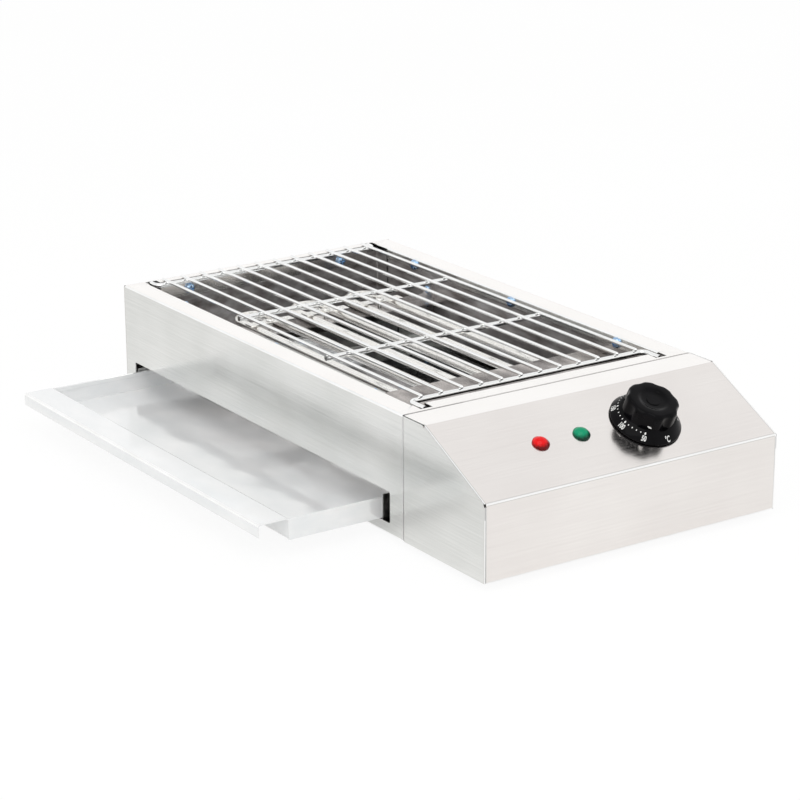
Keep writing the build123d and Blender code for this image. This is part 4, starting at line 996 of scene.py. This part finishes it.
# ---------------------------------------------------------------------------
# Joints of the control box: thin black strips laid in the seams, a painted shadow
# for the open joints, thickest at the front left corner.
# ---------------------------------------------------------------------------
bead = 0.6
thick_bead = 1.7
thick_drop = 0.45             # how far it lies below the seam's top
thick_reach = 55.0
corner_bead = 2.6
corner_drop = 0.8
corner_fall = 0.3             # it runs down by this much along its length
corner_reach = 9.0
cheek_bead = 0.3
cheek_reach = 12.0            # below the foot of the slope
joint_shadow_finish = moulded("joint_painted_shadow", "#0C0C0C", "#060606", 0.5)
seam_top = body_height - 0.25
corner_x = 0.5 - half_width
edge_x = half_width - 0.06
foot_y = slope_foot_y + 0.15
across_seam = [(side * (half_width - 0.3), 0, seam_top) for side in (-1, 1)]
side_seams = [[(side * (half_width - 0.25), y, seam_top) for y in (-0.4, slope_top_y)] for side in (-1, 1)]
thick_seam = [(x - half_width, 0, seam_top - thick_drop) for x in (0.4, thick_reach)]
corner_seam = [(corner_x, 0, seam_top - corner_drop),
               (corner_x + corner_reach, 0, seam_top - corner_drop - corner_fall)]
cheek_seams = [[(x, slope_top_y, body_height - 0.3), (x, foot_y, slope_foot_z - 0.3),
                (x, foot_y, slope_foot_z - cheek_reach)] for x in (-edge_x, edge_x)]
for name, routes, width, sides in (("seam_silicone", [across_seam] + side_seams, bead, 10),
                                   ("thick_seam_silicone", [thick_seam], thick_bead, 12),
                                   ("corner_silicone", [corner_seam], corner_bead, 12),
                                   ("cheek_silicone", cheek_seams, cheek_bead, 10)):
    place_piece(rods(name, routes, width, sides, joint_shadow_finish), "body", "nylon_black")

# ---------------------------------------------------------------------------
# Studio: a pale floor that is white to the eye and slightly grey in reflections,
# an even white room and one large soft lamp overhead, in front and to the left.
# ---------------------------------------------------------------------------
floor_size = 12.0             # metres each way from the middle
floor_z = cad_box[0].z
room_low = 1.04               # the room's level in reflections, near the floor and overhead
room_high = 0.9
room_light = 0.78             # its level on matt surfaces
floor_white = 1.02
floor_mirrored = 0.5          # how much of that shows in reflections
lamp_size = 2.0
lamp_power = 14.0
lamp_place = (-900, -900, 1900)
lamp_aim = (0, 170, 50)
world = bpy.data.worlds.new("white_room")
scene.world = world
world.use_nodes = True
tree = world.node_tree
tree.nodes.clear()
path = add(tree, "ShaderNodeLightPath")
seen = add(tree, "ShaderNodeMath", {0: path.outputs["Is Camera Ray"], 1: path.outputs["Is Transmission Ray"]},
           operation="MAXIMUM")
direction = add(tree, "ShaderNodeSeparateXYZ", {0: add(tree, "ShaderNodeTexCoord").outputs["Generated"]})
height = add(tree, "ShaderNodeMapRange", {"Value": direction.outputs["Z"], "From Min": 0.2, "From Max": 0.9,
                                          "To Min": room_low, "To Max": room_high})
gloss = add(tree, "ShaderNodeMix", {0: path.outputs["Is Glossy Ray"], 2: room_light, 3: height.outputs[0]})
strength = add(tree, "ShaderNodeMix", {0: seen.outputs[0], 2: gloss.outputs[0], 3: 1.0})
sky = add(tree, "ShaderNodeBackground", {"Color": (1, 1, 1, 1), "Strength": strength.outputs[0]})
add(tree, "ShaderNodeOutputWorld", {"Surface": sky.outputs[0]})

floor_material = patterned("pale_floor", {"Roughness": 0.9}, (400, 400, 400), "#F1F1EF", "#F7F7F6", detail=2.0)
tree = floor_material.node_tree
path = add(tree, "ShaderNodeLightPath")
mirrored = add(tree, "ShaderNodeMath", {0: path.outputs["Is Glossy Ray"],
                                        1: path.outputs["Is Transmission Ray"]}, operation="MAXIMUM")
partly = add(tree, "ShaderNodeMath", {0: mirrored.outputs[0], 1: floor_mirrored}, operation="MULTIPLY")
seen = add(tree, "ShaderNodeMath", {0: path.outputs["Is Camera Ray"], 1: 0.9, 2: partly.outputs[0]},
           operation="MULTIPLY_ADD")
white = add(tree, "ShaderNodeEmission", {"Color": (1, 1, 1, 1), "Strength": floor_white})
paint = tree.nodes["Principled BSDF"].outputs[0]
blend = add(tree, "ShaderNodeMixShader", {0: seen.outputs[0], 1: paint, 2: white.outputs[0]})
tree.links.new(blend.outputs[0], tree.nodes["Material Output"].inputs[0])
floor_mesh = bpy.data.meshes.new("studio_floor")
corners = ((-floor_size, -floor_size), (floor_size, -floor_size), (floor_size, floor_size),
           (-floor_size, floor_size))
floor_mesh.from_pydata([(*corner, floor_z) for corner in corners], [], [(0, 1, 2, 3)])
floor_mesh.materials.append(floor_material)
link_new("studio_floor", floor_mesh)

softbox = bpy.data.lights.new("overhead_softbox", "AREA")
softbox.shape = "SQUARE"
softbox.size = lamp_size
softbox.energy = lamp_power
softbox_object = link_new("overhead_softbox", softbox)
aim = (at(*lamp_aim) - at(*lamp_place)).to_track_quat("-Z", "Y")
softbox_object.matrix_world = Matrix.Translation(at(*lamp_place)) @ aim.to_matrix().to_4x4()

# Camera: high at the front left corner, a long lens, tipped by a third of a degree.
azimuth = radians(-33.77)
elevation = radians(18.18)
tilt = radians(-0.335)
camera_place = (-1223.0, -1615.9, 753.1)
view = Vector((-sin(azimuth) * cos(elevation), cos(azimuth) * cos(elevation), -sin(elevation)))
right = view.cross(Vector((0, 0, 1))).normalized()
up = right.cross(view)
right, up = right * cos(tilt) + up * sin(tilt), up * cos(tilt) - right * sin(tilt)
camera = bpy.data.cameras.new("front_left_view")
camera.lens = 122.38
camera.sensor_width = 36.0
camera_object = link_new("front_left_view", camera)
turned = Matrix((right, up, -view)).transposed().to_4x4()
camera_object.matrix_world = Matrix.Translation(at(*camera_place)) @ turned
scene.camera = camera_object
scene.view_settings.view_transform = "Standard"

bpy.context.view_layer.update()
